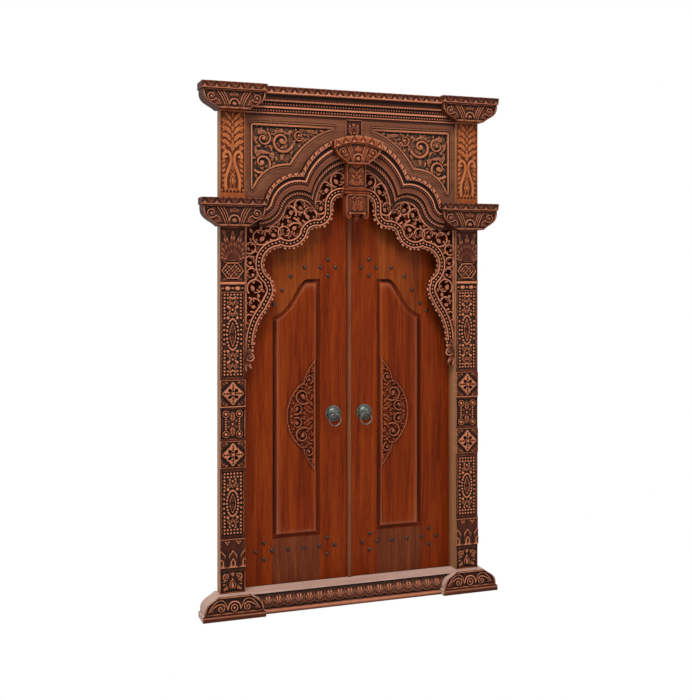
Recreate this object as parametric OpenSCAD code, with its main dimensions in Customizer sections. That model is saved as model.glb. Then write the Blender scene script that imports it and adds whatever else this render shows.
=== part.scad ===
// Carved temple door: two teak leaves with ring pulls in a carved frame.
// X runs across the doorway, +Y to the back, +Z up. The origin is on the floor,
// midway between the posts, at the back face of the carved front.

/* [Doorway] */
// Clear width between the posts
open_w = 1096; // [1060:1:1140]
// Height of the sill's top edge
sill_h = 105; // [98:1:110]
// Height of the arch's spring line, where the capitals start
spring_z = 1830; // [1800:1:1860]
// Height of the post tops over the arch's crown
crown_gap = 97; // [90:1:120]

/* [Posts and blocks] */
// Width of a post
post_w = 120; // [112:1:130]
// Depth of a post
post_d = 62; // [58:1:72]
// Height of the plinth blocks
plinth_h = 112; // [112:1:124]
// Height of the capitals
cap_h = 133; // [122:1:140]
// Height of the corner blocks on the posts
block_h = 124; // [114:1:136]
// Width of a block's spread beyond each side of its post
wing_w = 90; // [80:1:100]
// How far a block stands proud of its post
block_over = 40; // [30:1:50]
// Thickness of the slab that edges a block
slab_t = 32; // [26:1:36]
// Overhang of that slab
slab_over = 6; // [4:1:8]

/* [Carving] */
// Depth of the sunk ground between the carved bands' borders
sunk = 5; // [3:0.5:7]
// Height of the ornament above that ground
relief = 9; // [6:0.5:11]
// Border left round a sunk ground
rim = 9; // [7:0.5:11]
// Radius of the carved beads
bead_r = 6.5; // [5:0.5:7]
// Height of the drop-leaf band at a post's foot
drop_leaf_h = 109; // [100:1:120]
// Height of the chevron band over it
chevron_h = 134; // [120:1:140]
// Height of the lower bead field
low_field_h = 307; // [290:1:320]
// Height of each raised flower block
flower_h = 126; // [118:1:132]
// Height of the block with four rosettes
rosette_h = 136; // [126:1:142]
// Height of the palmette band under a capital
palmette_h = 150; // [140:1:160]
// Height of the hexagon band under it
hexagon_h = 102; // [94:1:108]
// Height of the egg row under that
egg_h = 33; // [28:1:38]
// Space between two bands
band_gap = 12; // [8:1:15]

/* [Arch] */
// Thickness of the board behind the arch
board_t = 20; // [16:1:24]
// Outer radius of the arch's middle foil
arch_r = 298; // [290:1:306]
// Height of its centre over the spring line
arch_rise = 151; // [145:1:160]
// Width of the moulding on the middle foil, less the drop of its centre
arch_band = 96; // [90:1:102]
// Drop of the inner edge's centre below the outer edge's
arch_drop = 46; // [40:1:50]
// Outer radius of a side foil
foil_r = 171; // [166:1:176]
// Distance of a side foil's centre inside the middle foil's edge
foil_in = 8; // [4:1:12]
// Height of that centre over the spring line
foil_h = 90; // [84:1:96]
// Width of the moulding on a side foil
foil_band = 87; // [82:1:92]
// Distance of the flare's centre outside the side foil's centre
flare_out = 188; // [182:1:196]
// Radius of the flare on the inner edge
flare_r = 130; // [126:1:134]
// Depth of the arch in front of its board
arch_d = 64; // [58:1:70]

/* [Keystone] */
// Half width of the keystone's shaft
key_half = 48; // [44:1:52]
// Half width of its corbel's slab
corbel_half = 100; // [92:1:106]
// Height of the corbel
corbel_h = 109; // [100:1:116]
// Height of the shaft under the corbel
shaft_h = 144; // [138:1:150]
// Height of the pendant under the shaft
pendant_h = 121; // [112:1:128]
// Depth of the shaft in front of the board
shaft_d = 72; // [68:1:78]

/* [Fretwork] */
// Thickness of the pierced curtains
fret_t = 24; // [20:1:28]
// Width of their beaded border
border_w = 28; // [24:1:32]
// Width of a scroll's ribbon
ribbon_w = 10; // [8:0.5:12]
// Fitting clearance round the curtains and between carved pieces
fit = 0.3; // [0.2:0.05:0.5]

/* [Leaves] */
// Thickness of a leaf
leaf_t = 40; // [36:1:46]
// Depth of the lining in front of a leaf
lip_d = 25; // [22:1:30]
// Width of the lining's rebate
rebate = 12; // [10:1:15]
// Clearance round a leaf
leaf_gap = 2; // [1.5:0.1:3]
// Height of a leaf's top edge
leaf_top = 2150; // [2130:1:2170]
// Distance of the meeting line left of the middle
meet_off = 9; // [6:1:11]
// Gap between the leaves at the meeting line
meet_gap = 4; // [4:0.5:6]
// Distance of a panel's inner edge from the middle
panel_in = 150; // [144:1:156]
// Width of the stile between a panel and the hinges
stile_w = 167; // [158:1:178]
// Height of a panel's lower edge
panel_z = 325; // [318:1:332]
// Height of a panel's upper edge on the meeting side
panel_top = 1583; // [1570:1:1600]
// Drop of the ogee towards the hinge side
ogee_drop = 183; // [170:1:195]
// Depth of the grooves that hold a panel
groove_d = 9; // [7:0.5:11]
// Height of the half-moon carving
moon_h = 545; // [520:1:570]
// Width of the half-moon carving
moon_w = 144; // [136:1:150]
// Width of the bead along the meeting edge
cover_w = 22; // [18:1:26]

/* [Ironwork] */
// Radius of the domed studs
stud_r = 9.5; // [8:0.5:11]
// Distance of the pulls from the middle
pull_x = 81.5; // [78:0.5:86]
// Height of the pulls' eyes
pull_z = 920; // [900:1:940]
// Radius of a pull's rose
rose_r = 39; // [36:0.5:42]
// Distance of a pull's eye from the leaf
eye_out = 31; // [29:0.5:34]
// Radius of a pull ring's centre line
ring_r = 29; // [27:0.5:31]
// Radius of the ring's wire
wire_r = 3; // [2.5:0.1:3.2]
// Clearance of the wire in the eye
eye_fit = 0.5; // [0.4:0.05:0.7]
// Length of a hinge
hinge_l = 102; // [90:1:120]
// Width of a hinge plate
plate_w = 30; // [26:1:34]
// Thickness of a hinge plate
plate_t = 2.5; // [2:0.1:3]
// Radius of a hinge's knuckles
knuckle_r = 6; // [5:0.1:7]
// Radius of a hinge pin
pin_r = 3; // [2.5:0.1:3.5]
// Clearance of a hinge pin in its knuckles
pin_fit = 0.05; // [0.03:0.01:0.08]

/* [Hidden] */
$fn = 48;

teak = "sienna";
dark_teak = "saddlebrown";
red_teak = "brown";
iron = "dimgray";

// Places that several pieces share
half = open_w / 2;
// The arch and the curtains are drawn for this width of doorway, and grow with it
drawn_w = 1096;
stretch = open_w / drawn_w;
crown_z = spring_z + stretch * (arch_rise + arch_r);
head_z = crown_z + crown_gap;
post_x = half + post_w / 2;
post_front = -post_d;
block_front = post_front - block_over;
cap_top = spring_z + cap_h;
beam_drop = 16;
beam_z = head_z - beam_drop;
leaf_front = lip_d;
leaf_back = lip_d + leaf_t;
leaf_z = sill_h + 3;
leaf_out = half + rebate - leaf_gap;
panel_out = leaf_out - stile_w;
through = 400;
sink = 2;
ease = 0.2;

// Curves
function arc(c, r, a0, a1, n) =
  [for (i = [0:n]) let (a = a0 + (a1 - a0) * i / n) c + r * [cos(a), sin(a)]];
function bezier(p, n) =
  [for (i = [0:n]) let (t = i / n, s = 1 - t)
    s*s*s * p[0] + 3*s*s*t * p[1] + 3*s*t*t * p[2] + t*t*t * p[3]];
function mix(a, b, t) = a + (b - a) * t;
function turned(p) = [for (i = [len(p) - 1:-1:0]) p[i]];
function rest_of(p) = [for (i = [1:len(p) - 1]) p[i]];
function mirrored(p) = [for (q = p) [-q[0], q[1]]];
function angle_of(v) = atan2(v[1], v[0]);
function upper_meet(c0, r0, c1, r1) =
  let (d = norm(c1 - c0), u = (c1 - c0) / d, a = (r0*r0 - r1*r1 + d*d) / (2*d))
    c0 + a * u + sqrt(r0*r0 - a*a) * [-u[1], u[0]];
function run_lengths(p) =
  [for (i = 0, s = 0; i < len(p); s = s + (i < len(p) - 1 ? norm(p[i + 1] - p[i]) : 0), i = i + 1) s];
function spaced(p, pitch) =
  let (s = run_lengths(p), n = floor(s[len(s) - 1] / pitch),
       tx = [for (i = [0:len(p) - 1]) [s[i], p[i][0]]],
       tz = [for (i = [0:len(p) - 1]) [s[i], p[i][1]]])
    [for (k = [0:n - 1]) [lookup((k + 0.5) * pitch, tx), lookup((k + 0.5) * pitch, tz)]];
function beside(p, d) =
  [for (i = [0:len(p) - 2]) let (u = (p[i + 1] - p[i]) / norm(p[i + 1] - p[i])) p[i] + d * [u[1], -u[0]]];

// Ornament outlines: a tapering ribbon that winds inwards, and a pointed leaf
function scroll_outline(r, w, turns = 1.4, eye = 0.28, n = 16) =
  let (rad = [for (i = [0:n]) r * (1 - (1 - eye) * i / n)],
       wid = [for (i = [0:n]) w / 2 * (1 - 0.4 * i / n)],
       dir = [for (i = [0:n]) [cos(360 * turns * i / n), sin(360 * turns * i / n)]])
    concat([for (i = [0:n]) (rad[i] + wid[i]) * dir[i]], [for (i = [n:-1:0]) (rad[i] - wid[i]) * dir[i]]);
function leaf_outline(l, w, n = 5) =
  concat([for (i = [0:n]) [l * i / n, w / 2 * sin(180 * i / n)]],
         [for (i = [n - 1:-1:1]) [l * i / n, -w / 2 * sin(180 * i / n)]]);

module scroll(at, r, start, w = ribbon_w, hand = 1) {
  translate(at) scale([1, hand]) rotate(start) {
    polygon(scroll_outline(r, w));
    circle(r = 0.25 * r, $fn = 12);
  }
}

module leaf(at, l, w, a) translate(at) rotate(a) polygon(leaf_outline(l, w));

module bar(from, to, w) {
  translate(from) rotate(angle_of(to - from)) translate([0, -w / 2]) square([norm(to - from), w]);
}

// Raises a front-view outline off the plane y = ground, towards the viewer
module carve(ground, h) {
  translate([0, ground + sink, 0]) rotate([90, 0, 0]) linear_extrude(h + sink)
    offset(delta = ease) children();
}

// A front-view outline as a board between two depths
module board(back, front) {
  translate([0, back, 0]) rotate([90, 0, 0]) linear_extrude(back - front) children();
}

// A side-view outline [y, z] run across from x0 to x1
module run(x0, x1) {
  translate([x0, 0, 0]) rotate([90, 0, 90]) linear_extrude(x1 - x0) children();
}

module handed(side) {
  if (side < 0) mirror([1, 0, 0]) children();
  else children();
}

module box(from, to) translate(from) cube(to - from);

// Scroll-cut blocks
// Half outline of a bracket that spreads from w0 at its foot to w1 under its slab
function bracket_side(w0, w1, h) =
  concat(bezier([[w0, 0], [mix(w0, w1, 0.45), 0.25 * h], [w1, 0.22 * h], [w1, 0.8 * h]], 8), [[w1, h]]);
function bracket_outline(w0, w1, h) =
  let (s = bracket_side(w0, w1, h)) concat(s, turned(mirrored(s)));
foot_half = post_w / 2 + 15;
wing_half = post_w / 2 + wing_w;

module bracket_face(h) polygon(bracket_outline(foot_half, wing_half, h));

// Ornament of a bracket's face: a central eye between two scrolls with stems
module bracket_ornament(h) {
  r = 0.25 * h;
  difference() {
    translate([0, 0.36 * h]) circle(r = r, $fn = 32);
    translate([0, 0.30 * h]) circle(r = 0.62 * r, $fn = 32);
  }
  for (side = [-1, 1]) scale([side, 1]) {
    scroll([0.66 * wing_half, 0.60 * h], 0.24 * h, 200, 8);
    bar([0.12 * wing_half, 0.12 * h], [0.42 * wing_half, 0.88 * h], 8);
    leaf([0.32 * wing_half, 0.22 * h], 0.42 * wing_half, 0.20 * h, 18);
    leaf([0.90 * wing_half, 0.86 * h], 0.24 * wing_half, 0.20 * h, 200);
    leaf([0.16 * wing_half, 0.78 * h], 0.20 * wing_half, 0.16 * h, 60);
  }
}

// A bracket with its slab, its foot at z = 0, between its back and front faces
module bracket(h, back) {
  face_h = h - slab_t;
  slab_half = wing_half + slab_over;
  tongue_w = 2 * slab_half / 7;
  difference() {
    union() {
      board(back, block_front) bracket_face(face_h);
      box([-slab_half, block_front - slab_over, face_h], [slab_half, back, h]);
    }
    board(block_front + relief, block_front - 1) offset(delta = -rim) bracket_face(face_h);
  }
  carve(block_front + relief, relief - 1) intersection() {
    bracket_ornament(face_h);
    offset(delta = -rim) bracket_face(face_h);
  }
  for (i = [-3:3])
    translate([i * tongue_w, 0, 0])
      carve(block_front - slab_over, 3) tongue(tongue_w - 6, face_h + 4, slab_t - 8);
}

// One leaf of a tongue row, pointing down
module tongue(w, z, h) {
  polygon(concat([[-w / 2, z + h]], bezier([[-w / 2, z + h], [-w / 3, z + h / 3], [-w / 6, z], [0, z]], 5),
                 bezier([[0, z], [w / 6, z], [w / 3, z + h / 3], [w / 2, z + h]], 5)));
}

module capital(side) {
  color(teak) handed(side) difference() {
    translate([post_x, 0, spring_z]) bracket(cap_h, -board_t);
    box([half, post_front, 0], [half + post_w, through, head_z]);
  }
}

module cornice_block(side) {
  color(teak) handed(side) translate([post_x, 0, head_z]) bracket(block_h, 0);
}

plinth_slab = 26;
plinth_toe = 8;
module plinth_face(grow) {
  top = foot_half + grow;
  foot = wing_half - plinth_toe + grow;
  s = bracket_side(top, foot, plinth_h - plinth_slab);
  flipped = [for (p = s) [p[0], plinth_h + grow - p[1]]];
  toe = foot + plinth_toe;
  polygon(concat([[toe, -grow], [toe, plinth_slab + grow]], turned(flipped), mirrored(flipped),
                 [[-toe, plinth_slab + grow], [-toe, -grow]]));
}

module plinth(side) {
  ground = block_front + relief;
  color(teak) handed(side) translate([post_x, 0, 0]) {
    difference() {
      board(0, block_front) plinth_face(0);
      board(ground, block_front - 1) offset(delta = -rim) intersection() {
        plinth_face(0);
        translate([-wing_half, plinth_slab - rim]) square([2 * wing_half, plinth_h]);
      }
    }
    carve(ground, relief - 1) intersection() {
      translate([0, plinth_h + 4]) scale([1, -1]) bracket_ornament(plinth_h - plinth_slab);
      offset(delta = -rim) plinth_face(0);
    }
    box([-wing_half, block_front - slab_over, 0], [wing_half, block_front, plinth_slab - 4]);
  }
}

// Posts
// Heights of the carved bands, from the plinth up and from the capital down
drop_leaf_z = plinth_h;
chevron_z = drop_leaf_z + drop_leaf_h + band_gap;
low_field_z = chevron_z + chevron_h + band_gap;
low_flower_z = low_field_z + low_field_h + band_gap;
rosette_z = low_flower_z + flower_h + band_gap;
high_flower_z = rosette_z + rosette_h + band_gap;
high_field_z = high_flower_z + flower_h + band_gap;
palmette_z = spring_z - 6 - palmette_h;
hexagon_z = palmette_z - hexagon_h;
egg_z = hexagon_z - 15 - egg_h;
field_half = post_w / 2 - rim;
carve_ground = post_front + sunk;

// A bead whose middle lies a little behind the ground
module bead(at, r = bead_r, ground = carve_ground) {
  translate([at[0], ground + 0.15 * r, at[1]]) sphere(r, $fn = 24);
}

module sunk_field(z, h) box([-field_half, post_front - 1, z], [field_half, carve_ground, z + h]);

// Bead field: bead rows round a column of lozenges
module bead_field_cut(z, h) sunk_field(z + 4, h - 8);
module bead_field(z, h) {
  pitch = 3.1 * bead_r;
  edge = field_half - 1.8 * bead_r;
  rows = floor((h - 8 - 2 * bead_r) / pitch);
  cross = floor(2 * edge / pitch);
  lozenges = floor(h / 130);
  lozenge_h = h / lozenges;
  for (i = [0:rows - 1], side = [-1, 1])
    bead([side * edge, z + h / 2 + (i - (rows - 1) / 2) * pitch]);
  for (i = [1:cross - 1], end = [0, 1])
    bead([-edge + i * 2 * edge / cross, z + h / 2 + (end - 0.5) * (rows - 1) * pitch]);
  for (i = [0:lozenges - 1]) {
    mid = z + (i + 0.5) * lozenge_h;
    carve(carve_ground, relief - 2) difference() {
      lozenge(mid, edge - 1.7 * bead_r, 0.40 * lozenge_h);
      lozenge(mid, edge - 1.7 * bead_r - 7, 0.40 * lozenge_h - 14);
    }
    bead([0, mid], 1.3 * bead_r);
    for (end = [-1, 1]) bead([0, mid + end * 0.2 * lozenge_h]);
  }
}

module lozenge(z, w, h) polygon([[-w, z], [0, z - h], [w, z], [0, z + h]]);

// Raised flower block: four leaf petals round a boss, with leaves in the corners
flower_up = 7;
module flower_block(z) {
  mid = z + flower_h / 2;
  reach = post_w / 2 - 4;
  box([-post_w / 2, post_front - flower_up, z], [post_w / 2, post_front + 1, z + flower_h]);
  carve(post_front - flower_up, relief) for (a = [0:90:270]) leaf([0, mid], reach, 0.62 * reach, a);
  carve(post_front - flower_up, relief / 2) for (a = [45:90:315])
    leaf([0, mid] + 0.95 * reach * [cos(a), sin(a)], 0.34 * reach, 0.3 * reach, a);
  for (a = [45:90:315])
    bead([0, mid] + 0.36 * reach * [cos(a), sin(a)], 1.1 * bead_r, post_front - flower_up);
  bead([0, mid], 1.3 * bead_r, post_front - flower_up - relief);
}

// Four ringed bosses joined by bead columns round a pair of leaves
module rosette_block(z) {
  dx = 0.62 * field_half;
  dz = 0.36 * rosette_h;
  mid = z + rosette_h / 2;
  for (sx = [-1, 1], sz = [-1, 1]) {
    carve(carve_ground, relief - 2) difference() {
      translate([sx * dx, mid + sz * dz]) circle(r = 2.5 * bead_r, $fn = 20);
      translate([sx * dx, mid + sz * dz]) circle(r = 1.8 * bead_r, $fn = 20);
    }
    bead([sx * dx, mid + sz * dz], 1.35 * bead_r);
  }
  for (sx = [-1, 1], i = [-1:1]) bead([sx * dx, mid + i * 2.4 * bead_r], 0.9 * bead_r);
  carve(carve_ground, relief - 2) for (a = [90, 270]) leaf([0, mid], 0.42 * rosette_h, 0.5 * field_half, a);
}

module hexagon_band(z) {
  mid = z + hexagon_h / 2;
  carve(carve_ground, relief - 2) difference() {
    hexagon(mid, field_half, hexagon_h / 2 - 6);
    hexagon(mid, field_half - 9, hexagon_h / 2 - 13);
  }
  carve(carve_ground, relief - 3) intersection() {
    hexagon(mid, field_half - 8, hexagon_h / 2 - 12);
    for (i = [-3:3], a = [45, 135])
      translate([0.36 * i * field_half, mid]) rotate(a) square([hexagon_h * 2, 5], center = true);
  }
}

module hexagon(z, w, h) {
  polygon([[-w, z], [-w / 2, z - h], [w / 2, z - h], [w, z], [w / 2, z + h], [-w / 2, z + h]]);
}

module palmette_band(z) {
  carve(carve_ground, relief - 2) {
    for (side = [-1, 1], a = [28, 42]) leaf([0, z + 6], 0.96 * field_half / sin(a), 20, 90 + side * a);
    leaf([0, z + 6], 0.95 * palmette_h, 34, 90);
    for (side = [-1, 1]) scale([side, 1]) scroll([0.66 * field_half, z + 0.16 * palmette_h], 13, 90, 6);
  }
}

module drop_leaf_band(z) {
  carve(carve_ground, relief - 2) {
    for (side = [-1, 1]) scale([side, 1]) {
      scroll([0.5 * field_half, z + 0.62 * drop_leaf_h], 0.36 * field_half, 250, 8);
      leaf([0.12 * field_half, z + 0.10 * drop_leaf_h], 0.55 * drop_leaf_h, 16, 35);
    }
    leaf([0, z + 0.94 * drop_leaf_h], 0.86 * drop_leaf_h, 22, 270);
  }
}

module chevron_band(z) {
  carve(post_front, sunk) for (i = [0:3], side = [-1, 1]) scale([side, 1])
    bar([0, z + (0.1 + 0.19 * i) * chevron_h], [0.9 * field_half, z + (0.3 + 0.19 * i) * chevron_h], 8);
}

module upper_leaves(z, h) {
  tiers = 4;
  carve(carve_ground, relief - 2) {
    for (i = [1:tiers], side = [-1, 1]) scale([side, 1]) {
      leaf([2, z + (0.14 + 0.17 * i) * h], 0.9 * field_half, 24, 52);
      scroll([0.62 * field_half, z + (0.10 + 0.17 * i) * h], 13, 200, 6);
    }
    leaf([0, z + 0.08 * h], 0.26 * h, 46, 90);
    bar([0, z + 0.3 * h], [0, z + 0.96 * h], 9);
  }
}

module post(side) {
  upper_z = cap_top + 24;
  upper_h = head_z - 6 - upper_z;
  high_field_h = egg_z - high_field_z;
  color(teak) handed(side) translate([post_x, 0, 0]) {
    difference() {
      box([-post_w / 2, post_front, plinth_h], [post_w / 2, 0, head_z]);
      sunk_field(upper_z, upper_h);
      sunk_field(palmette_z, palmette_h);
      sunk_field(hexagon_z + 3, hexagon_h - 6);
      sunk_field(egg_z, egg_h);
      bead_field_cut(high_field_z, high_field_h);
      bead_field_cut(low_field_z, low_field_h);
      sunk_field(rosette_z, rosette_h);
      sunk_field(drop_leaf_z + 6, drop_leaf_h - 6);
    }
    upper_leaves(upper_z, upper_h);
    palmette_band(palmette_z);
    hexagon_band(hexagon_z);
    for (i = [-1:1]) bead([i * 0.62 * field_half, egg_z + egg_h / 2], 0.42 * egg_h);
    bead_field(high_field_z, high_field_h);
    flower_block(high_flower_z);
    rosette_block(rosette_z);
    flower_block(low_flower_z);
    bead_field(low_field_z, low_field_h);
    box([-post_w / 2, post_front - sunk, chevron_z], [post_w / 2, post_front + 1, chevron_z + chevron_h]);
    translate([0, -sunk, 0]) chevron_band(chevron_z);
    drop_leaf_band(drop_leaf_z);
  }
}

// Arch
// Edge of the moulding at share t of its width: middle foil, side foil and flare
spring = [0, spring_z];
foil_x = arch_r - foil_in;
flare = spring + stretch * [foil_x + flare_out, flare_r];
function arch_line(t) =
  let (c0 = spring + stretch * [0, arch_rise - arch_drop * t], r0 = stretch * (arch_r - arch_band * t),
       c1 = spring + stretch * [foil_x - 15 * t, foil_h - 30 * t], r1 = stretch * (foil_r - foil_band * t),
       p = upper_meet(c0, r0, c1, r1), out = angle_of(flare - c1), r2 = norm(flare - c1) - r1)
    concat(arc(c0, r0, 90, angle_of(p - c0), 14), rest_of(arc(c1, r1, angle_of(p - c1), out, 14)),
           rest_of(arc(flare, r2, out + 180, 270, 8)), [[half, flare[1] - r2]]);

module arch_area(t) {
  line = arch_line(t);
  polygon(concat(line, [[half, 0], [-half, 0]], turned(mirrored(line))));
}

// Section of the moulding: share of the width, height in front of the board.
// It starts at a point of its back from which every other point is in sight.
arch_section = concat(
  [[0.25, 0], [0, 0], [0, 0.94], [0.02, 1], [0.15, 1], [0.17, 0.86]],
  [for (a = [200:35:340]) [0.235 + 0.06 * cos(a), 0.82 + 0.06 * sin(a)]],
  [[0.31, 0.9], [0.36, 0.9], [0.37, 0.76], [0.46, 0.76]],
  [for (a = [165:-30:15]) [0.585 + 0.115 * cos(a), 0.72 + 0.17 * sin(a)]],
  [[0.71, 0.6], [0.88, 0.6], [0.90, 0.5], [1, 0.5], [1, 0]]
);

// The moulding as a loft: one ring of the section at each station along the arch
module arch_loft() {
  lines = [for (s = arch_section) arch_line(s[0])];
  m = len(arch_section);
  n = len(lines[0]);
  points = [for (i = [0:n - 1], j = [0:m - 1])
    [lines[j][i][0], -board_t - arch_section[j][1] * arch_d, lines[j][i][1]]];
  sides = [for (i = [0:n - 2], j = [0:m - 1])
    let (k = (j + 1) % m) [i * m + j, i * m + k, (i + 1) * m + k, (i + 1) * m + j]];
  near_cap = concat([0], [for (j = [m - 1:-1:1]) j]);
  far_cap = [for (j = [0:m - 1]) (n - 1) * m + j];
  polyhedron(points, concat(sides, [near_cap, far_cap]));
}

corbel_z = crown_z - 31 - corbel_h;
corbel_top = corbel_z + corbel_h;
slot_top = corbel_top - 6;

module arch(side) {
  color(teak) handed(side) difference() {
    arch_loft();
    translate([post_x, 0, spring_z - 1]) board(1, -through) {
      polygon(bracket_outline(foot_half + fit, wing_half + fit, cap_h - slab_t + 1));
      translate([-wing_half - slab_over - fit, cap_h - slab_t]) square([2 * wing_half, slab_t + 1 + fit]);
    }
    box([-1, -through, 0], [key_half + fit, 1, slot_top]);
  }
}

module transom_board() {
  color(dark_teak) board(0, -board_t) difference() {
    translate([-half, spring_z]) square([open_w, beam_z - spring_z]);
    arch_area(1);
  }
}

// Spandrels
spandrel_d = 24;
field_sunk = 12;
centre_half = 42;
spandrel_rim = 34;
spandrel_front = -board_t - spandrel_d;

field_corner = [half - spandrel_rim - 6, beam_z - spandrel_rim - 12];
// Lower edge of the carved field over the arch
function field_line() =
  let (c0 = spring + [0, stretch * arch_rise - 20], r0 = stretch * arch_r + 70,
       c1 = spring + stretch * [foil_x, foil_h] + [45, 32], r1 = stretch * foil_r + 13,
       p = upper_meet(c0, r0, c1, r1), reach = field_corner[0] - c1[0])
    concat(arc(c0, r0, asin((field_corner[1] - c0[1]) / r0), angle_of(p - c0), 10),
           rest_of(arc(c1, r1, angle_of(p - c1), reach < r1 ? acos(reach / r1) : 0, 8)));

module spandrel_field() polygon(concat(field_line(), [field_corner]));

module spandrel_ornament() {
  at = field_corner;
  scroll(at + [-150, -70], 50, 210, ribbon_w);
  scroll(at + [-52, -176], 50, 60, ribbon_w, -1);
  scroll(at + [-58, -64], 40, 120, ribbon_w);
  scroll(at + [-236, -40], 30, 240, 8);
  scroll(at + [-300, -24], 20, 240, 7);
  scroll(at + [-28, -256], 24, 80, 8, -1);
  leaf(at + [-18, -10], 130, 30, 215);
  leaf(at + [-205, -10], 95, 26, 235);
  leaf(at + [-6, -100], 92, 26, 240);
  leaf(at + [-100, -22], 90, 22, 190);
  leaf(at + [-8, -210], 60, 20, 250);
  leaf(at + [-110, -130], 86, 22, 150);
  leaf(at + [-260, -14], 80, 20, 190);
}

module spandrel(side) {
  ground = spandrel_front + field_sunk;
  color(dark_teak) handed(side) {
    difference() {
      board(-board_t, spandrel_front) difference() {
        translate([centre_half + fit, cap_top + fit])
          square([half - centre_half - 2 * fit, beam_z - cap_top - 2 * fit]);
        offset(delta = fit) arch_area(0);
      }
      board(ground, spandrel_front - 1) spandrel_field();
      board(spandrel_front + 4, spandrel_front - 1) difference() {
        offset(delta = 14) spandrel_field();
        offset(delta = 9) spandrel_field();
      }
    }
    carve(ground, field_sunk - 2) intersection() {
      spandrel_ornament();
      offset(delta = -fit) spandrel_field();
    }
  }
}

module centre_block() {
  z = crown_z + fit;
  h = beam_z - z - fit;
  front = spandrel_front - 10;
  color(teak) {
    difference() {
      box([-centre_half, front, z], [centre_half, -board_t, z + h]);
      box([-centre_half + rim, front - 1, z + rim], [centre_half - rim, front + sunk, z + h - rim]);
    }
    carve(front + sunk, relief - 2)
      for (a = [45:90:315]) leaf([0, z + h / 2], centre_half - rim - 2, 20, a);
    bead([0, z + h / 2], bead_r, front + sunk - relief + 2);
  }
}

// Keystone
shaft_front = -board_t - shaft_d;
shaft_z = corbel_z - shaft_h;
collar_h = 30;
fret_front = -board_t - fret_t;
// Height of the curtains' border over their face
fret_proud = 5;
key_back = fret_front - fret_proud;

module keystone_shaft() {
  reach = key_half + 16;
  color(teak) {
    box([-key_half, shaft_front, shaft_z], [key_half, -board_t, slot_top - fit]);
    for (i = [0, 1])
      box([-reach + 6 * i, shaft_front - 12 + 5 * i, shaft_z + 15 * i],
          [reach - 6 * i, key_back, shaft_z + 15 * i + 12]);
    carve(shaft_front, 5) {
      leaf([0, shaft_z + collar_h + 4], shaft_h - collar_h - 8, 40, 90);
      for (side = [-1, 1]) scale([side, 1]) {
        scroll([0.62 * key_half, shaft_z + collar_h + 26], 14, 90, 6);
        leaf([0.4 * key_half, shaft_z + collar_h + 40], 62, 18, 75);
      }
    }
  }
}

module keystone_corbel() {
  front = shaft_front - 26;
  face_h = corbel_h - slab_t;
  tongue_pitch = 2 * corbel_half / 5.5;
  color(teak) translate([0, 0, corbel_z]) {
    difference() {
      board(shaft_front, front) polygon(bracket_outline(key_half + 4, corbel_half - slab_over, face_h));
      board(front + sunk, front - 1) offset(delta = -rim)
        polygon(bracket_outline(key_half + 4, corbel_half - slab_over, face_h));
    }
    box([-corbel_half, front - slab_over, face_h], [corbel_half, shaft_front, corbel_h]);
    carve(front + sunk, relief - 4) {
      leaf([0, rim], face_h - 2 * rim, 24, 90);
      for (side = [-1, 1]) scale([side, 1])
        scroll([0.5 * corbel_half, 0.6 * face_h], 0.22 * face_h, 200, 7);
    }
    for (i = [-2:2]) translate([i * tongue_pitch, 0, 0])
      carve(front - slab_over, 3) tongue(tongue_pitch - 6, face_h + 4, slab_t - 8);
  }
}

module pendant_drop() {
  reach = key_half + 10;
  z = shaft_z - pendant_h;
  front = shaft_front - 10;
  foot = 0.22 * pendant_h;
  color(teak) {
    board(key_back, front) difference() {
      translate([-reach, z]) square([2 * reach, pendant_h]);
      for (side = [-1, 1]) translate([side * 0.48 * reach, z]) scale([1, foot / (0.34 * reach)])
        circle(r = 0.34 * reach, $fn = 32);
    }
    carve(front, 6) {
      for (side = [-1, 1]) scale([side, 1]) {
        scroll([0.5 * reach, z + 0.64 * pendant_h], 0.3 * reach, 120, 7);
        leaf([0.9 * reach, z + 0.2 * pendant_h], 0.5 * pendant_h, 18, 110);
      }
      leaf([0, z + 0.9 * pendant_h], 0.8 * pendant_h, 24, 270);
    }
    translate([0, (front + key_back) / 2, z - 6]) rotate_extrude()
      polygon([[0, 10], [14, 10], [16, 4], [13, -8], [6, -18], [0, -22]]);
  }
}

// Fretwork
// Middle line of the beaded border, as lobes between cusps
drawn_rise = 449;
rise = (arch_rise + arch_r) / drawn_rise;
fret_top = 180;
// A drawn place on the curtains, and a drawn radius there: what is over the spring line follows the crown
function placed(x, z) = spring + stretch * [x, z > 0 ? rise * z : z];
function drawn_r(r, z) = stretch * (z > 0 ? rise * r : r);
function lobe(x, z, r, a0, a1, n) = arc(placed(x, z), drawn_r(r, z), a0, a1, n);
fret_line = concat(
  [[key_half, placed(0, fret_top)[1]]],
  lobe(62, 112, 68, 90, 0, 8), lobe(182, 78, 52, 180, 270, 6),
  lobe(190, -44, 70, 84, 22, 5), lobe(330, 5, 82, 196, 300, 8),
  lobe(377, -175, 101, 84, -58, 12), lobe(478, -300, 55, 146, 208, 5),
  lobe(250, -560, 275, 40, 2, 6), [placed(532, -590)]
);

module fret_doorway() polygon(concat(fret_line, [[half, 0], [-half, 0], [-half, placed(0, fret_top)[1]]]));

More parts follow.
